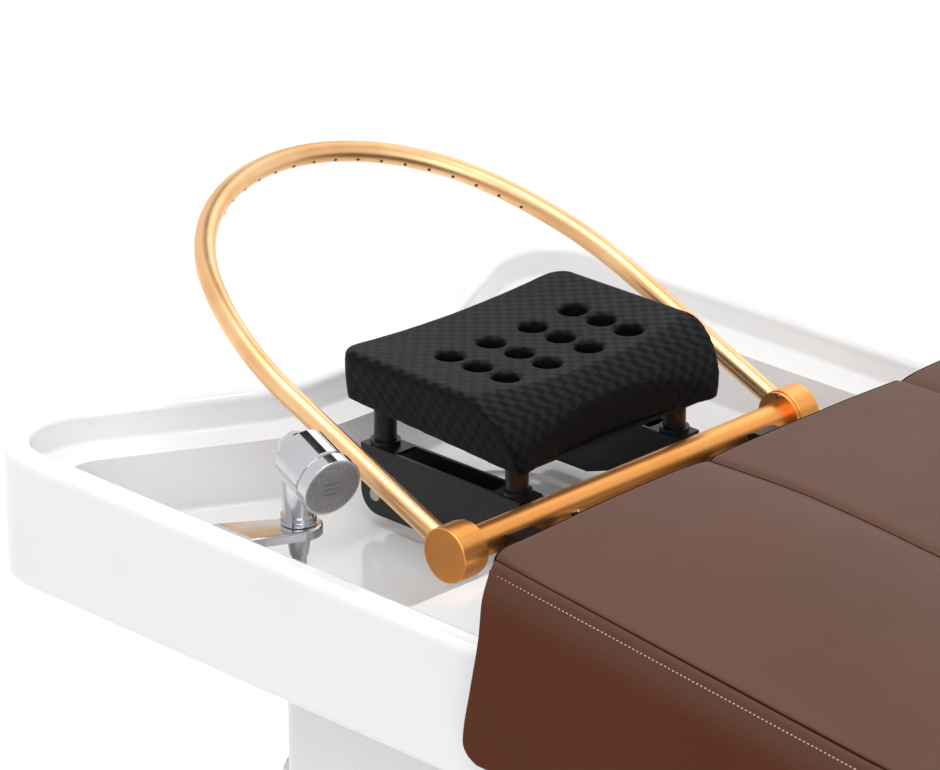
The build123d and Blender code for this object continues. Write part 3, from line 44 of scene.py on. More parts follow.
# Sizes in metres, measured from the spray bar's axis as in the part's source
mm = 0.001
bar_height = 535 * mm
bed_length = 2000 * mm
head_reach = 432 * mm
foot_reach = bed_length - head_reach
bar = Vector(((head_reach - foot_reach) / 2, 0, bar_height))
half_bed = 375 * mm
leather_thick = 14 * mm
groove_y = 117 * mm
skirt_low = -70 * mm
seam_low = 61 * mm
cushion_low = 49 * mm
cushion_head = 195 * mm
cushion_foot = foot_reach - leather_thick
cushion_side = half_bed - leather_thick

# Cushion heights: place along the bed, then the edge, the groove, the middle and the crown
cushion_heights = (
    (195 * mm, 105 * mm, 114.5 * mm, 116 * mm, 5 * mm),
    (290 * mm, 95.5 * mm, 116 * mm, 118.5 * mm, 6 * mm),
    (360 * mm, 88 * mm, 112 * mm, 115.5 * mm, 7 * mm),
    (430 * mm, 80.5 * mm, 105.5 * mm, 109.5 * mm, 7 * mm),
    (520 * mm, 71 * mm, 96.5 * mm, 101 * mm, 7 * mm),
    (600 * mm, 63.5 * mm, 90 * mm, 95 * mm, 7 * mm),
    (720 * mm, 60.5 * mm, 86.5 * mm, 91 * mm, 7 * mm),
    (1554 * mm, 60 * mm, 86 * mm, 90.5 * mm, 7 * mm),
)
# Side seam that the panels' painted light band follows: where it starts, its fall and where it
# levels off
seam_head_height = cushion_heights[0][1]
seam_fall = 0.1057
seam_foot_height = cushion_heights[-1][1]
# Head-end edge of the side panels: distance along the bed and height
skirt_edge = (
    (189 * mm, -70 * mm),
    (176 * mm, -63 * mm),
    (171 * mm, -52 * mm),
    (179 * mm, -7 * mm),
    (188 * mm, 39 * mm),
    (192 * mm, 74 * mm),
    (199 * mm, 105 * mm),
)

# Sewn channels: their depth, how far they fade to either side, and the puckers along them
channel_depth = 3.2 * mm
channel_outside = 9 * mm
channel_inside = 2.2 * mm
pucker_height = 0.25 * mm
pucker_reach = 14 * mm
# Broad unevenness of the padded faces
cushion_uneven = 0.4 * mm
panel_uneven = 0.5 * mm
# Filled-out head-end corners of the cushion: height, length, and where they rise and fade
shoulder_height = 8 * mm
shoulder_length = 45 * mm
shoulder_rise = 5 * mm
shoulder_fade = 40 * mm
# Rolled edges
head_roll = 2.5 * mm
side_roll = 2 * mm
foot_roll = 26 * mm
side_panel_roll = 3 * mm
foot_panel_roll = 6 * mm
# Side panel: set back behind the bed's width, full in the middle, sloping in under the seam
side_panel_setback = 1.2 * mm
side_panel_full = 1.2 * mm
side_panel_full_reach = 40 * mm
seam_slope = 5.5 * mm
seam_slope_reach = 38 * mm
foot_panel_setback = 0.6 * mm

# Cords
cord_sides = 10
piping_pace = 10 / 3 * mm
piping_radius = 1.3 * mm
piping_inset = 12.2 * mm
piping_sink = 0.6 * mm
edge_piping_radius = 0.9 * mm
head_piping_pace = 4 / 3 * mm
head_piping_stand = 0.4 * mm
head_piping_sink = 1.2 * mm
skirt_piping_pace = 2 * mm
skirt_piping_stand = 0.8 * mm
skirt_piping_inset = 7 * mm
channel_cord_pace = 2 * mm
channel_cord_radius = 0.6 * mm
channel_cord_lift = 0.1 * mm
# Stitches
stitch_sides = 6
stitch_pitch = 4 * mm
stitch_length = 2.5 * mm
seam_stitch_radius = 0.5 * mm
seam_stitch_drop = 7 * mm
seam_stitch_inset = 5 * mm
channel_stitch_radius = 0.4 * mm
# One stitch: share of its length, share of its radius, and rise over the leather in radii
stitch_rings = (
    (0.0, 0.3, -0.6),
    (0.2, 0.9, 0.1),
    (0.5, 1.0, 0.35),
    (0.8, 0.9, 0.1),
    (1.0, 0.3, -0.6),
)

# Drain holes of the head pad: three rows, with a pair of holes on each side of the middle
# Within this radius of each hole's centre the pad keeps its plain black, without the painted sheen
# of the squares
hole_dark_radius = 12.2 * mm
hole_row_pitch = 32.95 * mm
hole_first_row = bar.x - 136.4 * mm
hole_last_row = hole_first_row + 2 * hole_row_pitch
hole_pair_middle = 50.6 * mm
hole_pair_half = 25.1 * mm
# Pattern of the head pad's skin: its squares and lines, the part of a face's direction along
# the bed that makes it an end face, and how much of the top's painted sheen of the squares the
# other faces keep
pad_square = 7 * mm
pad_line = 1.1 * mm
end_face_from = 0.7
side_painted_sheen_share = 0.25
pad_voxel = 1.7 * mm

# Colour sockets of the Mix node, which share their names with its number sockets
mix_first_colour = 6
mix_second_colour = 7
mix_colour_result = 2

# Dark cards of the studio: name, centre, direction and width, direction and length
flags = (
    ("upright_flag", (-0.2, -2.6, 1.2), (1, 0.3, 0), 0.45, (0, 0, 1), 2.4),
    ("overhead_flag", (0.4, 0, 2.7), (1, 0, -0.5), 0.35, (0, 1, 0), 3.0),
    ("handset_flag", (-1.45, 0.4, 1.84), (0.913, 0, 0.407), 0.6, (0.175, 0.908, -0.393), 0.7),
)
# Point that the lamps are turned to
lamp_target = (-0.4, 0, 0.5)
# Camera: place from the bar, direction, focal length and picture width in pixels
camera_place = (2619 * mm, -2846 * mm, 1664 * mm)
camera_azimuth = 44.59 * pi / 180
camera_elevation = 22.2 * pi / 180
focal_pixels = 5000
picture_pixels = 940


def at(x, y, z):
    """Point in the model's frame from one in the bar's frame."""
    return bar + Vector((x, y, z))


def principled(made):
    """The shader that a material is built on."""
    return made.node_tree.nodes["Principled BSDF"]


def material(name, colour, rough, metal=0.0):
    """Plain shader to which the surface detail is added."""
    made = bpy.data.materials.new(name)
    made.use_nodes = True
    shader = principled(made)
    shader.inputs["Base Color"].default_value = (*colour, 1)
    shader.inputs["Roughness"].default_value = rough
    shader.inputs["Metallic"].default_value = metal
    return made


def shine(made, level):
    """Strength of a material's mirroring."""
    principled(made).inputs["Specular IOR Level"].default_value = level


def node(made, kind, **inputs):
    """Shader node with some of its inputs set."""
    added = made.node_tree.nodes.new(kind)
    for name, value in inputs.items():
        added.inputs[name.replace("_", " ")].default_value = value
    return added


def join(made, output, target):
    """Link between two shader sockets."""
    made.node_tree.links.new(output, target)


def object_place(made, stretch=(1, 1, 1)):
    """Object coordinates, stretched along the axes."""
    place = node(made, "ShaderNodeTexCoord")
    mapping = node(made, "ShaderNodeMapping", Scale=stretch)
    join(made, place.outputs["Object"], mapping.inputs["Vector"])
    return mapping.outputs["Vector"]


def axes(made, kind):
    """The three parts of a texture coordinate."""
    place = node(made, "ShaderNodeTexCoord")
    split = node(made, "ShaderNodeSeparateXYZ")
    join(made, place.outputs[kind], split.inputs["Vector"])
    return split.outputs


def noise_texture(made, scale, detail, stretch=(1, 1, 1)):
    """Noise over the object's own coordinates."""
    texture = node(made, "ShaderNodeTexNoise", Scale=scale, Detail=detail)
    join(made, object_place(made, stretch), texture.inputs["Vector"])
    return texture.outputs["Fac"]


def colour_range(made, factor, low, high, start=0.3, end=0.7):
    """Two colours mixed by a texture."""
    ramp = node(made, "ShaderNodeValToRGB")
    ramp.color_ramp.elements[0].position = start
    ramp.color_ramp.elements[0].color = (*low, 1)
    ramp.color_ramp.elements[1].position = end
    ramp.color_ramp.elements[1].color = (*high, 1)
    join(made, factor, ramp.inputs["Fac"])
    return ramp.outputs["Color"]


def paint(made, colour):
    """Base colour from a texture."""
    join(made, colour, principled(made).inputs["Base Color"])


def rough_range(made, factor, low, high):
    """Roughness that wanders between two values."""
    spread = node(made, "ShaderNodeMapRange", To_Min=low, To_Max=high)
    join(made, factor, spread.inputs["Value"])
    join(made, spread.outputs["Result"], principled(made).inputs["Roughness"])


def relief(made, height, strength, depth):
    """Bump added over any bump that is already there."""
    shader = principled(made)
    bump = node(made, "ShaderNodeBump", Strength=strength, Distance=depth)
    join(made, height, bump.inputs["Height"])
    before = shader.inputs["Normal"].links
    if before:
        join(made, before[0].from_socket, bump.inputs["Normal"])
    join(made, bump.outputs["Normal"], shader.inputs["Normal"])


def math_node(made, operation, first, second=0.0):
    """Arithmetic on two values, either of them a socket."""
    added = made.node_tree.nodes.new("ShaderNodeMath")
    added.operation = operation
    for place, value in enumerate((first, second)):
        if isinstance(value, (int, float)):
            added.inputs[place].default_value = value
        else:
            join(made, value, added.inputs[place])
    return added.outputs[0]


def glaze():
    """White ceramic glaze with faint pooling and waviness."""
    made = material("Glaze", (0.86, 0.86, 0.85), rough=0.12)
    shader = principled(made)
    shader.inputs["Coat Weight"].default_value = 0.5
    shader.inputs["Coat Roughness"].default_value = 0.05
    cloud = noise_texture(made, scale=7, detail=4)
    paint(made, colour_range(made, cloud, (0.84, 0.84, 0.845), (0.88, 0.88, 0.88)))
    rough_range(made, noise_texture(made, scale=30, detail=3), low=0.09, high=0.2)
    relief(made, noise_texture(made, scale=18, detail=2), strength=0.25, depth=1 * mm)
    return made


def white_sheet():
    """White enamelled sheet, faintly wavy."""
    made = material("White sheet", (0.83, 0.83, 0.82), rough=0.28)
    cloud = noise_texture(made, scale=5, detail=5)
    paint(made, colour_range(made, cloud, (0.83, 0.83, 0.83), (0.86, 0.86, 0.86)))
    rough_range(made, noise_texture(made, scale=9, detail=2), low=0.27, high=0.33)
    relief(made, noise_texture(made, scale=14, detail=1), strength=0.05, depth=0.5 * mm)
    return made


def gold(name, light, dark, rough):
    """Satin gold-plated tube with soft cloudy tint and fine drawn lines."""
    made = material(name, light, rough, metal=1.0)
    paint(made, colour_range(made, noise_texture(made, scale=14, detail=4), dark, light))
    lines = noise_texture(made, scale=90, detail=3, stretch=(3, 0.06, 3))
    rough_range(made, lines, low=rough - 0.06, high=rough + 0.08)
    relief(made, lines, strength=0.12, depth=0.2 * mm)
    return made


def polished(name, colour, rough):
    """Bright metal with light smears."""
    made = material(name, colour, rough, metal=1.0)
    smear = noise_texture(made, scale=25, detail=5)
    shade = tuple(part * 0.86 for part in colour)
    paint(made, colour_range(made, smear, shade, colour))
    rough_range(made, noise_texture(made, scale=70, detail=4), low=rough, high=rough + 0.12)
    relief(made, noise_texture(made, scale=45, detail=2), strength=0.04, depth=0.4 * mm)
    return made


def brushed(name, colour, rough, stretch):
    """Machined metal with fine lines one way."""
    made = material(name, colour, rough, metal=1.0)
    lines = noise_texture(made, scale=160, detail=4, stretch=stretch)
    shade = tuple(part * 0.75 for part in colour)
    paint(made, colour_range(made, lines, shade, colour))
    rough_range(made, lines, low=rough - 0.05, high=rough + 0.1)
    relief(made, lines, strength=0.08, depth=0.1 * mm)
    return made


def coated(name, colour, rough, grain, depth):
    """Paint, plastic or rubber with an even fine grain and small colour changes."""
    made = material(name, colour, rough)
    shade = tuple(part * 0.8 for part in colour)
    paint(made, colour_range(made, noise_texture(made, scale=9, detail=5), shade, colour))
    rough_range(made, noise_texture(made, scale=40, detail=3), low=rough - 0.06, high=rough + 0.08)
    relief(made, noise_texture(made, scale=grain, detail=3), strength=0.3, depth=depth)
    return made


def wood():
    """Plywood face with long grain."""
    made = material("Plywood", (0.45, 0.29, 0.16), rough=0.6)
    grain = noise_texture(made, scale=30, detail=6, stretch=(0.12, 1, 1))
    paint(made, colour_range(made, grain, (0.30, 0.18, 0.09), (0.50, 0.34, 0.20)))
    rough_range(made, grain, low=0.5, high=0.75)
    relief(made, grain, strength=0.25, depth=0.6 * mm)
    return made


def leather(name, low, high, gloss):
    """Fine-grained leather with soft colour clouds and pebbled grain."""
    made = material(name, high, rough=0.5)
    shine(made, gloss)
    cloud = noise_texture(made, scale=6, detail=5)
    paint(made, colour_range(made, cloud, low, high, start=0.25, end=0.75))
    rough_range(made, noise_texture(made, scale=22, detail=4), low=0.42, high=0.56)
    cells = node(made, "ShaderNodeTexVoronoi", Scale=850)
    join(made, object_place(made), cells.inputs["Vector"])
    relief(made, cells.outputs["Distance"], strength=0.2, depth=0.3 * mm)
    relief(made, noise_texture(made, scale=90, detail=4), strength=0.15, depth=0.4 * mm)
    return made


def leather_painted_light_by_seam(name, low, high, gloss):
    """Leather of the side and foot panels: painted light as pale as the top just under the seam,
    where the shoulder rounds upward, and painted shade, darker and redder, below.
    """
    made = leather(name, low, high, gloss)
    lower_painted_shade = principled(made).inputs["Base Color"].links[0].from_socket
    x, _, z = axes(made, "Object")
    from_head = math_node(made, "SUBTRACT", x, bar.x + cushion_head)
    fall = math_node(made, "MULTIPLY", from_head, seam_fall)
    sloping = math_node(made, "SUBTRACT", bar.z + seam_head_height, fall)
    seam = math_node(made, "MAXIMUM", sloping, bar.z + seam_foot_height)
    spread = node(made, "ShaderNodeMapRange", From_Min=8 * mm, From_Max=42 * mm)
    spread.interpolation_type = "SMOOTHSTEP"
    join(made, math_node(made, "SUBTRACT", seam, z), spread.inputs["Value"])
    # Painted light: the top's pale colour just under the seam, fading into the panel's darker
    # painted shade lower down
    seam_painted_light_blend = node(made, "ShaderNodeMix")
    seam_painted_light_blend.data_type = "RGBA"
    seam_painted_light_blend.inputs[mix_first_colour].default_value = (0.106, 0.049, 0.033, 1)
    join(made, spread.outputs["Result"], seam_painted_light_blend.inputs["Factor"])
    join(made, lower_painted_shade, seam_painted_light_blend.inputs[mix_second_colour])
    paint(made, seam_painted_light_blend.outputs[mix_colour_result])
    return made


def hole_distance(made, x, y):
    """Distance from the nearest drain hole's centre line, over the pad's plan."""
    from_first = math_node(made, "SUBTRACT", x, hole_first_row)
    steps = math_node(made, "DIVIDE", from_first, hole_row_pitch)
    near_step = math_node(made, "ROUND", math_node(made, "MAXIMUM", steps, 0.0))
    from_first = math_node(made, "MULTIPLY", near_step, hole_row_pitch)
    row = math_node(made, "ADD", from_first, hole_first_row)
    row = math_node(made, "MINIMUM", row, hole_last_row)
    along = math_node(made, "SUBTRACT", x, row)
    aside = math_node(made, "SUBTRACT", math_node(made, "ABSOLUTE", y), hole_pair_middle)
    across = math_node(made, "SUBTRACT", math_node(made, "ABSOLUTE", aside), hole_pair_half)
    along_squared = math_node(made, "MULTIPLY", along, along)
    across_squared = math_node(made, "MULTIPLY", across, across)
    return math_node(made, "SQRT", math_node(made, "ADD", along_squared, across_squared))


def pad_skin():
    """Moulded black skin: small squares in alternating directions of fine diagonal lines, the
    lighter squares a painted sheen.
    """
    made = material("Pad skin", (0.006, 0.006, 0.007), rough=0.5)
    shine(made, 0.07)
    x, y, z = axes(made, "Object")
    facing_x, _, facing_z = axes(made, "Normal")
    end_face = math_node(made, "GREATER_THAN", math_node(made, "ABSOLUTE", facing_x), end_face_from)
    elsewhere = math_node(made, "SUBTRACT", 1.0, end_face)
    on_end = math_node(made, "MULTIPLY", z, end_face)
    along = math_node(made, "ADD", math_node(made, "MULTIPLY", x, elsewhere), on_end)
    across = math_node(made, "ADD", y, math_node(made, "MULTIPLY", z, elsewhere))
    both = node(made, "ShaderNodeCombineXYZ")
    join(made, along, both.inputs["X"])
    join(made, across, both.inputs["Y"])
    black, white = (0, 0, 0, 1), (1, 1, 1, 1)
    checker = node(made, "ShaderNodeTexChecker", Scale=1 / pad_square, Color1=black, Color2=white)
    join(made, both.outputs["Vector"], checker.inputs["Vector"])
    mix = node(made, "ShaderNodeMix")
    join(made, checker.outputs["Fac"], mix.inputs["Factor"])
    for operation, target in (("ADD", "A"), ("SUBTRACT", "B")):
        way = math_node(made, operation, along, across)
        turned = math_node(made, "MULTIPLY", way, 2 * pi / pad_line)
        join(made, math_node(made, "SINE", turned), mix.inputs[target])
    relief(made, mix.outputs["Result"], strength=0.5, depth=0.25 * mm)
    relief(made, checker.outputs["Fac"], strength=0.2, depth=0.2 * mm)
    # Painted sheen: the lighter squares, full on upward faces, weaker on the others, none over the
    # drain holes
    upward = math_node(made, "MAXIMUM", facing_z, side_painted_sheen_share)
    outside = math_node(made, "GREATER_THAN", hole_distance(made, x, y), hole_dark_radius)
    lit = math_node(made, "MULTIPLY", checker.outputs["Fac"], outside)
    lit = math_node(made, "MULTIPLY", lit, upward)
    # Plain black, and the painted sheen of the lighter squares
    low, high = (0.0025, 0.0025, 0.003), (0.017, 0.017, 0.0195)
    paint(made, colour_range(made, lit, low, high, start=0.0, end=1.0))
    rough_range(made, noise_texture(made, scale=30, detail=4), low=0.4, high=0.55)
    return made


# Materials by the record's slots, then those of single pieces
fine_grain = 0.2 * mm
skins = {
    "glazed_white": glaze(),
    "white_sheet": white_sheet(),
    "chrome": polished("Chrome", (0.60, 0.61, 0.63), rough=0.04),
    "rubber_black": coated("Black rubber", (0.025, 0.025, 0.025), 0.7, 500, fine_grain),
    "plastic_white": coated("White plastic", (0.75, 0.75, 0.73), 0.35, 300, fine_grain),
    "satin_gold": gold("Satin gold", (0.96, 0.44, 0.13), (0.87, 0.355, 0.09), rough=0.36),
    "black_metal": coated("Black coat", (0.008, 0.008, 0.009), 0.3, 700, fine_grain),
    "black_pad": pad_skin(),
    "steel": brushed("Bright steel", (0.42, 0.42, 0.44), rough=0.25, stretch=(1, 1, 0.1)),
    "brass": brushed("Raw brass", (0.72, 0.53, 0.26), rough=0.32, stretch=(0.1, 1, 1)),
    "bearing_plastic": coated("Dark plastic", (0.05, 0.05, 0.05), 0.5, 400, fine_grain),
    "frame_paint": coated("Dark powder coat", (0.05, 0.05, 0.055), 0.45, 900, 0.3 * mm),
    "board": wood(),
    "leather": leather("Leather", (0.098, 0.045, 0.030), (0.114, 0.053, 0.036), gloss=0.16),
}
shine(skins["black_metal"], 0.3)
# Arch tube: a paler copy of the satin gold, its paleness a painted reflection of the bright
# surroundings
arch_gold_painted_reflection = gold("Gold with painted reflection", (0.92, 0.60, 0.32), (0.80, 0.44, 0.20), rough=0.34)
# Side and foot panels: a darker, redder copy of the top's leather, as painted shade, with a painted
# light band under the seam
panel_leather_painted_shade = leather_painted_light_by_seam("Panel leather painted shade", (0.088, 0.024, 0.011), (0.102, 0.030, 0.015), 0.05)
piping_leather = coated("Piping leather", (0.030, 0.009, 0.005), 0.8, 400, fine_grain)
shine(piping_leather, 0.02)
thread = coated("Thread", (0.62, 0.47, 0.38), 0.7, 1500, 0.1 * mm)
face_metal = polished("Spray face metal", (0.36, 0.36, 0.37), rough=0.12)
knurl = brushed("Knurled nut", (0.55, 0.55, 0.56), rough=0.3, stretch=(1, 1, 0.15))
dark_cloth = coated("Dark cloth", (0.02, 0.02, 0.02), 0.8, 300, 0.5 * mm)


def dress(piece, skin):
    """Give one piece one material."""
    piece.data.materials.clear()
    piece.data.materials.append(skin)


def dress_frame():
    """Materials of the carried-over pieces, from the record's slots."""
    for part in frame["record"]["subparts"]:
        dress(nodes[part["node"]], skins[part["material_slot"]])
    dress(nodes["arch_tube"], arch_gold_painted_reflection)
    dress(nodes["hose_nut"], knurl)
    dress(nodes["spray_face"], face_metal)


def shade_smooth(mesh):
    """Smooth shading on every face."""
    for face in mesh.polygons:
        face.use_smooth = True


def new_piece(name, verts, faces, body, skin):
    """Smooth mesh piece that rides on a body."""
    mesh = bpy.data.meshes.new(name)
    mesh.from_pydata(verts, [], faces)
    mesh.update()
    tidy = bmesh.new()
    tidy.from_mesh(mesh)
    bmesh.ops.recalc_face_normals(tidy, faces=tidy.faces)
    tidy.to_mesh(mesh)
    tidy.free()
    shade_smooth(mesh)
    piece = bpy.data.objects.new(name, mesh)
    bpy.context.scene.collection.objects.link(piece)
    dress(piece, skin)
    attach(piece, body)
    return piece


def closed_grid(layers):
    """Vertices and faces of a grid whose two layers are joined round the rim."""
    rows = len(layers[0])
    columns = len(layers[0][0])
    verts = [point for layer in layers for line in layer for point in line]

    def index(layer, row, column):
        return (layer * rows + row) * columns + column

    faces = []
    for layer in (0, 1):
        for row in range(rows - 1):
            for column in range(columns - 1):
                beside, above = column + 1, row + 1
                corners = [(row, column), (row, beside), (above, beside), (above, column)]
                faces.append([index(layer, *corner) for corner in corners])
    rim = [(0, c) for c in range(columns)]
    rim += [(r, columns - 1) for r in range(1, rows)]
    rim += [(rows - 1, c) for c in range(columns - 2, -1, -1)]
    rim += [(r, 0) for r in range(rows - 2, 0, -1)]
    for first, second in zip(rim, rim[1:] + rim[:1]):
        faces.append([index(0, *first), index(0, *second), index(1, *second), index(1, *first)])
    return verts, faces


def along_table(table, place):
    """Smooth values from a table of places and values."""
    for number in range(len(table) - 1):
        if place <= table[number + 1][0] or number == len(table) - 2:
            break
    before = table[max(number - 1, 0)]
    start = table[number]
    end = table[number + 1]
    after = table[min(number + 2, len(table) - 1)]
    length = end[0] - start[0]
    share = min(max((place - start[0]) / length, 0), 1)
    square = share * share
    cube = square * share
    values = []
    for one, two, three, four in zip(before[1:], start[1:], end[1:], after[1:]):
        slope_in = (three - one) / (end[0] - before[0]) * length
        slope_out = (four - two) / (after[0] - start[0]) * length
        values.append(
            (2 * cube - 3 * square + 1) * two
            + (cube - 2 * square + share) * slope_in
            + (3 * square - 2 * cube) * three
            + (cube - square) * slope_out
        )
    return values


def round_drop(distance, radius):
    """How far a rounded edge falls at a distance in from its rim."""
    if distance >= radius:
        return 0.0
    share = 1 - max(distance, 0) / radius
    return radius * (1 - sqrt(max(1 - share * share, 0)))


def wander(one, two, scales, seed):
    """Smooth noise over two measures of a surface."""
    return noise.noise(Vector((one * scales[0], two * scales[1], seed)))


def cushion_top(x, y):
    """Height of the cushion's leather at a place, with its channels and small puckers."""
    edge, groove, middle, crown = along_table(cushion_heights, x)
    side = abs(y)
    if side < groove_y:
        share = side / groove_y
        height = middle + (groove - middle) * share**2
    else:
        share = (side - groove_y) / (cushion_side - groove_y)
        height = groove + (edge - groove) * share + 4 * crown * share * (1 - share)
    gap = side - groove_y
    fade = channel_outside if gap > 0 else channel_inside
    height -= channel_depth * exp(-abs(gap) / fade)
    pucker = wander(x, y, scales=(95, 12), seed=3)
    height += pucker_height * pucker * exp(-((gap / pucker_reach) ** 2))
    height += cushion_uneven * wander(x, y, scales=(9, 14), seed=7)
    inward = max(cushion_side - side, 0)
    shoulder = max(1 - (x - cushion_head) / shoulder_length, 0)
    risen = (1 - exp(-inward / shoulder_rise)) * exp(-inward / shoulder_fade)
    height += shoulder_height * shoulder * risen
    height -= round_drop(x - cushion_head, head_roll)
    if height > seam_low:
        height -= (height - seam_low) * round_drop(cushion_foot - x, foot_roll) / foot_roll
    return height - round_drop(cushion_side - side, side_roll)


def evenly(start, end, pace):
    """Places from start to end at one pace, with what is left over in the last step."""
    places = [start]
    while places[-1] < end:
        places.append(places[-1] + pace)
    places[-1] = end
    return places


def spaced(start, end, step, finer):
    """Places from start to end, closer together near some of them."""
    reach = 3 * step
    finest = 0.22 * step
    places = [start]
    while places[-1] < end:
        near = min(abs(places[-1] - place) for place in finer)
        places.append(places[-1] + min(max(finest, step * near / reach), step))
    places[-1] = end
    return places


def make_cushion():
    """Cushion of the bed: top leather, rolled edges and a flat underside."""
    step = 9 * mm
    ends = [cushion_head, cushion_foot]
    seams = [-cushion_side, -groove_y, groove_y, cushion_side]
    xs = spaced(cushion_head, cushion_foot, step, ends)
    ys = spaced(-cushion_side, cushion_side, step, seams)
    top = [[at(x, y, cushion_top(x, y)) for x in xs] for y in ys]
    low = [[at(x, y, cushion_low) for x in xs] for y in ys]
    verts, faces = closed_grid([top, low])
    piece = new_piece("cushion", verts, faces, "base", skins["leather"])
    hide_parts("mattress_top")


def skirt_head(z):
    """Place of the side panel's head-end edge at a height."""
    table = [(height, x) for x, height in skirt_edge]
    return along_table(table, min(max(z, skirt_low), table[-1][0]))[0]


def seam_height(x):
    """Height of the side seam along the bed."""
    return along_table(cushion_heights, max(x, cushion_head))[0]


def panel_piece(name, rises, places, both_faces):
    """Padded panel from a function that gives its outer and its inner point."""
    pairs = [[both_faces(rise, place) for place in places] for rise in rises]
    layers = [[[pair[face] for pair in row] for row in pairs] for face in (0, 1)]
    verts, faces = closed_grid(layers)
    return new_piece(name, verts, faces, "base", panel_leather_painted_shade)


def make_side_panel(name, side):
    """Padded side panel with rolled edges and a slightly full face."""

    def both_faces(rise, share):
        seam = seam_height(cushion_head + share * (foot_reach - cushion_head))
        z = skirt_low + rise * (seam - skirt_low)
        head = skirt_head(z)
        x = head + share * (foot_reach - head)
        near = min(seam - z, z - skirt_low, x - head, foot_reach - x)
        full = side_panel_full * sin(pi * rise) * min(1, near / side_panel_full_reach)
        drift = panel_uneven * wander(x, z, scales=(8, 12), seed=side * 5)
        slope = seam_slope * max(1 - (seam - z) / seam_slope_reach, 0) ** 2
        y = half_bed - side_panel_setback - round_drop(near, side_panel_roll) - slope
        y += full + drift * min(1, near / side_panel_roll)
        return at(x, side * y, z), at(x, side * cushion_side, z)

    shares = spaced(0, 1, 0.0085, [0, 1])
    rises = spaced(0, 1, 0.03, [0, 1])
    piece = panel_piece(name, rises, shares, both_faces)
    return piece


def make_foot_panel():
    """Padded panel across the foot end."""

    def both_faces(rise, y):
        z = skirt_low + rise * (seam_low - skirt_low)
        near = min(seam_low - z, z - skirt_low, cushion_side - abs(y))
        drift = panel_uneven * wander(y, z, scales=(9, 12), seed=2)
        x = foot_reach - foot_panel_setback - round_drop(near, foot_panel_roll)
        x += drift * min(1, near / foot_panel_roll)
        return at(x, y, z), at(cushion_foot, y, z)

    ys = spaced(-cushion_side, cushion_side, 20 * mm, [-cushion_side, cushion_side])
    rises = spaced(0, 1, 0.06, [0, 1])
    piece = panel_piece("foot_panel", rises, ys, both_faces)
    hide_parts("foot_skirt")


def ring_verts(centre, side, rise, radius, count):
    """Vertices of one ring."""
    turns = [2 * pi * place / count for place in range(count)]
    return [centre + radius * (cos(turn) * side + sin(turn) * rise) for turn in turns]


def ring_faces(base, rings, count):
    """Faces of a closed round piece from its rings of vertices, the first of them at base."""
    faces = []
    for ring in range(rings - 1):
        for corner in range(count):
            one = base + ring * count + corner
            two = base + ring * count + (corner + 1) % count
            faces.append([one, two, two + count, one + count])
    for ring in (0, rings - 1):
        faces.append([base + ring * count + corner for corner in range(count)])
    return faces


def tube_piece(name, points, radius, body):
    """Round cord along a list of points."""
    verts = []
    for number, point in enumerate(points):
        before = points[max(number - 1, 0)]
        after = points[min(number + 1, len(points) - 1)]
        way = (after - before).normalized()
        side = way.cross(Vector((0, 0, 1)))
        side = side.normalized() if side.length > 0.01 else Vector((1, 0, 0))
        verts += ring_verts(point, side, side.cross(way), radius, cord_sides)
    faces = ring_faces(0, len(points), cord_sides)
    return new_piece(name, verts, faces, body, piping_leather)


def make_piping(side, name):
    """Dark piping cord in the seam between the top and the side panel."""
    y = side * (half_bed - piping_inset)
    places = evenly(cushion_head + 4 * mm, foot_reach - 6 * mm, piping_pace)
    points = [at(x, y, seam_height(x) - piping_sink) for x in places]
    tube_piece(name, points, piping_radius, "base")


def make_head_piping():
    """Thin dark cord along the cushion's head-end edge."""
    x = cushion_head + head_piping_stand
    lip = cushion_head + head_roll
    places = evenly(-cushion_side, cushion_side, head_piping_pace)
    points = [at(x, y, cushion_top(lip, y) - head_piping_sink) for y in places]
    tube_piece("piping_head", points, edge_piping_radius, "base")


def make_skirt_piping(side, name):
    """Thin dark cord down the head-end edge of a side panel."""
    y = side * (half_bed - skirt_piping_inset)
    places = evenly(skirt_low + 6 * mm, skirt_edge[-1][1] - 7 * mm, skirt_piping_pace)
    points = [at(skirt_head(z) + skirt_piping_stand, y, z) for z in places]
    tube_piece(name, points, edge_piping_radius, "base")


def stitch_row(name, place, start, end, radius, body):
    """Row of single stitches that follow a line on the leather."""
    verts = []
    faces = []
    for number in range(int((end - start) / stitch_pitch)):
        begin = start + number * stitch_pitch
        first, out = place(begin)
        last, _ = place(begin + stitch_length)
        side = (last - first).normalized().cross(out).normalized()
        faces += ring_faces(len(verts), len(stitch_rings), stitch_sides)
        for share, size, lift in stitch_rings:
            centre = first.lerp(last, share) + out * radius * lift
            verts += ring_verts(centre, side, out, radius * size, stitch_sides)
    return new_piece(name, verts, faces, body, thread)


def side_stitch_place(side):
    """Line of the stitches on a side panel, below the seam."""
    out = Vector((0, side, 0.5)).normalized()

    def place(x):
        return at(x, side * (half_bed - seam_stitch_inset), seam_height(x) - seam_stitch_drop), out
    return place


def groove_stitch_place(side):
    """Line of the stitches in a sewn channel."""
    y = side * groove_y

    def place(x):
        return at(x, y, cushion_top(x, y)), Vector((0, 0, 1))
    return place


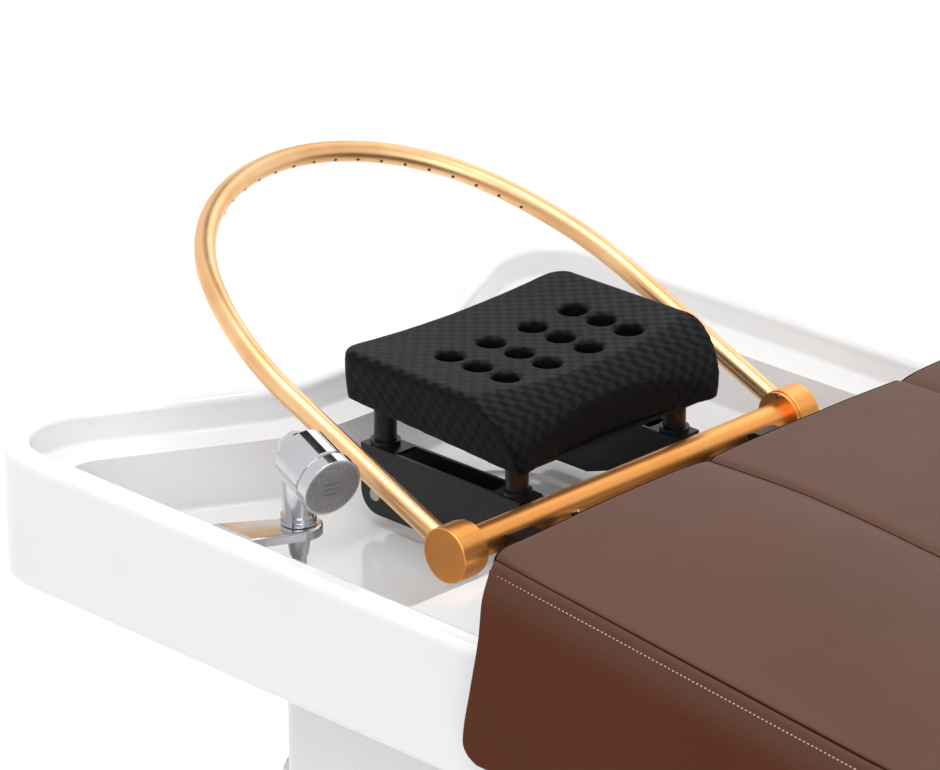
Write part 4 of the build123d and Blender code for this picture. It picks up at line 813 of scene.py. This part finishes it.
def make_stitches():
    """Thread along the side seams and the sewn channels, and the channels' cords."""
    start = cushion_head + 12 * mm
    end = foot_reach - 14 * mm
    for side, word in ((-1, "near"), (1, "far")):
        seam = side_stitch_place(side)
        stitch_row(f"seam_stitches_{word}", seam, start, end, seam_stitch_radius, "base")
        channel = groove_stitch_place(side)
        stitch_row(f"channel_stitches_{word}", channel, start, end, channel_stitch_radius, "base")
        y = side * groove_y
        places = evenly(cushion_head + 1 * mm, cushion_foot - 2 * mm, channel_cord_pace)
        points = [at(x, y, cushion_top(x, y) + channel_cord_lift) for x in places]
        tube_piece(f"channel_seam_{word}", points, channel_cord_radius, "base")


def make_pad():
    """Moulded head pad: the plain solid with every edge and hole lip softened."""
    source = nodes["headrest_pad"]
    mesh = source.data.copy()
    piece = bpy.data.objects.new("head_pad", mesh)
    piece.matrix_world = source.matrix_world.copy()
    bpy.context.scene.collection.objects.link(piece)
    fresh = piece.modifiers.new("Remesh", "REMESH")
    fresh.mode = "VOXEL"
    fresh.voxel_size = pad_voxel
    smooth = piece.modifiers.new("Smooth", "SMOOTH")
    smooth.factor = 0.5
    smooth.iterations = 12
    apply_modifiers(piece)
    dress(piece, skins["black_pad"])
    shade_smooth(piece.data)
    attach(piece, "headrest")
    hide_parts("headrest_pad")


def apply_modifiers(piece):
    """Keep the shape that the modifiers give and drop them."""
    bpy.context.view_layer.update()
    graph = bpy.context.evaluated_depsgraph_get()
    result = bpy.data.meshes.new_from_object(piece.evaluated_get(graph))
    piece.modifiers.clear()
    piece.data = result


def soften_frame():
    """Small bevels on the hard pieces that show."""
    widths = {
        "basin": 4.0 * mm,
        "headrest_channels": 0.8 * mm,
        "headrest_posts": 0.6 * mm,
        "bar_saddles": 0.8 * mm,
        "support_bridge": 0.8 * mm,
        "handset_holder": 0.8 * mm,
        "pedestal_shell": 1.5 * mm,
        "access_door": 1.0 * mm,
        "mixer_valve": 1.0 * mm,
        "bed_legs": 2.0 * mm,
        "frame_rails": 2.0 * mm,
        "cross_members": 2.0 * mm,
        "top_board": 1.0 * mm,
        "skirt_boards": 1.0 * mm,
    }
    for name, width in widths.items():
        bevel = nodes[name].modifiers.new("Bevel", "BEVEL")
        bevel.width = width
        bevel.segments = 3
        bevel.limit_method = "ANGLE"
        bevel.angle_limit = 0.6


def seen_directly(made):
    """One where a ray comes from the camera, a reflection or a transmission."""
    path = node(made, "ShaderNodeLightPath")
    seen = math_node(made, "MAXIMUM", path.outputs["Is Camera Ray"], path.outputs["Is Glossy Ray"])
    return math_node(made, "MAXIMUM", seen, path.outputs["Is Transmission Ray"])


def make_world():
    """White surroundings, a little dimmer as a light than as a background."""
    world = bpy.data.worlds.new("Studio")
    bpy.context.scene.world = world
    world.use_nodes = True
    back = world.node_tree.nodes["Background"]
    back.inputs["Color"].default_value = (1, 1, 1, 1)
    strength = node(world, "ShaderNodeMapRange", To_Min=0.95, To_Max=1.0)
    join(world, seen_directly(world), strength.inputs["Value"])
    join(world, strength.outputs["Result"], back.inputs["Strength"])


def flat_piece(name, corners, skin):
    """Flat four-cornered piece of the studio."""
    mesh = bpy.data.meshes.new(name)
    mesh.from_pydata(corners, [], [(0, 1, 2, 3)])
    piece = bpy.data.objects.new(name, mesh)
    bpy.context.scene.collection.objects.link(piece)
    piece.data.materials.append(skin)
    return piece


def make_floor():
    """Pale plain floor that keeps the object's shadow."""
    made = material("Pale floor", (0.74, 0.74, 0.74), rough=0.9)
    shine(made, 0.0)
    shader = principled(made)
    shader.inputs["Emission Color"].default_value = (1, 1, 1, 1)
    lift = math_node(made, "MULTIPLY", seen_directly(made), 0.38)
    join(made, lift, shader.inputs["Emission Strength"])
    reach = 30
    corners = [(-reach, -reach, 0), (reach, -reach, 0), (reach, reach, 0), (-reach, reach, 0)]
    floor = flat_piece("floor", corners, made)


def make_flag(name, centre, across_way, width, along_way, length):
    """Dark card of the studio, out of the picture, that the bright metal mirrors."""
    side = Vector(across_way) * width / 2
    rise = Vector(along_way) * length / 2
    low = Vector(centre) - rise
    high = Vector(centre) + rise
    card = flat_piece(name, [low - side, low + side, high + side, high - side], dark_cloth)
    card.visible_camera = False


def lamp(name, place, size, power):
    """Soft square lamp turned to the basin end."""
    light = bpy.data.lights.new(name, "AREA")
    light.size = size
    light.energy = power
    holder = bpy.data.objects.new(name, light)
    bpy.context.scene.collection.objects.link(holder)
    holder.location = place
    way = Vector(lamp_target) - Vector(place)
    holder.rotation_euler = way.to_track_quat("-Z", "Y").to_euler()


def make_camera():
    """Camera solved from the photograph."""
    level = cos(camera_elevation)
    way = (-sin(camera_azimuth) * level, cos(camera_azimuth) * level, -sin(camera_elevation))
    data = bpy.data.cameras.new("camera")
    data.sensor_width = 36
    data.sensor_fit = "HORIZONTAL"
    data.lens = focal_pixels / picture_pixels * data.sensor_width
    data.clip_end = 100
    holder = bpy.data.objects.new("camera", data)
    bpy.context.scene.collection.objects.link(holder)
    holder.location = Vector(camera_place) + bar
    holder.rotation_euler = Vector(way).to_track_quat("-Z", "Y").to_euler()
    bpy.context.scene.camera = holder


dress_frame()
soften_frame()
make_cushion()
near_panel = make_side_panel("near_side_panel", -1)
make_side_panel("far_side_panel", 1)
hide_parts("side_skirts")
make_foot_panel()
make_piping(-1, "piping_near")
make_piping(1, "piping_far")
make_head_piping()
make_skirt_piping(-1, "piping_skirt_near")
make_skirt_piping(1, "piping_skirt_far")
make_stitches()
make_pad()
make_world()
make_floor()
for flag in flags:
    make_flag(*flag)
lamp("key", (-0.5, -0.4, 3.4), size=1.8, power=32)
lamp("fill", (2.2, -2.2, 2.6), size=2.5, power=36)
lamp("rim", (-1.5, 3.0, 2.6), size=2.0, power=10)
make_camera()
bpy.context.scene.view_settings.view_transform = "Standard"
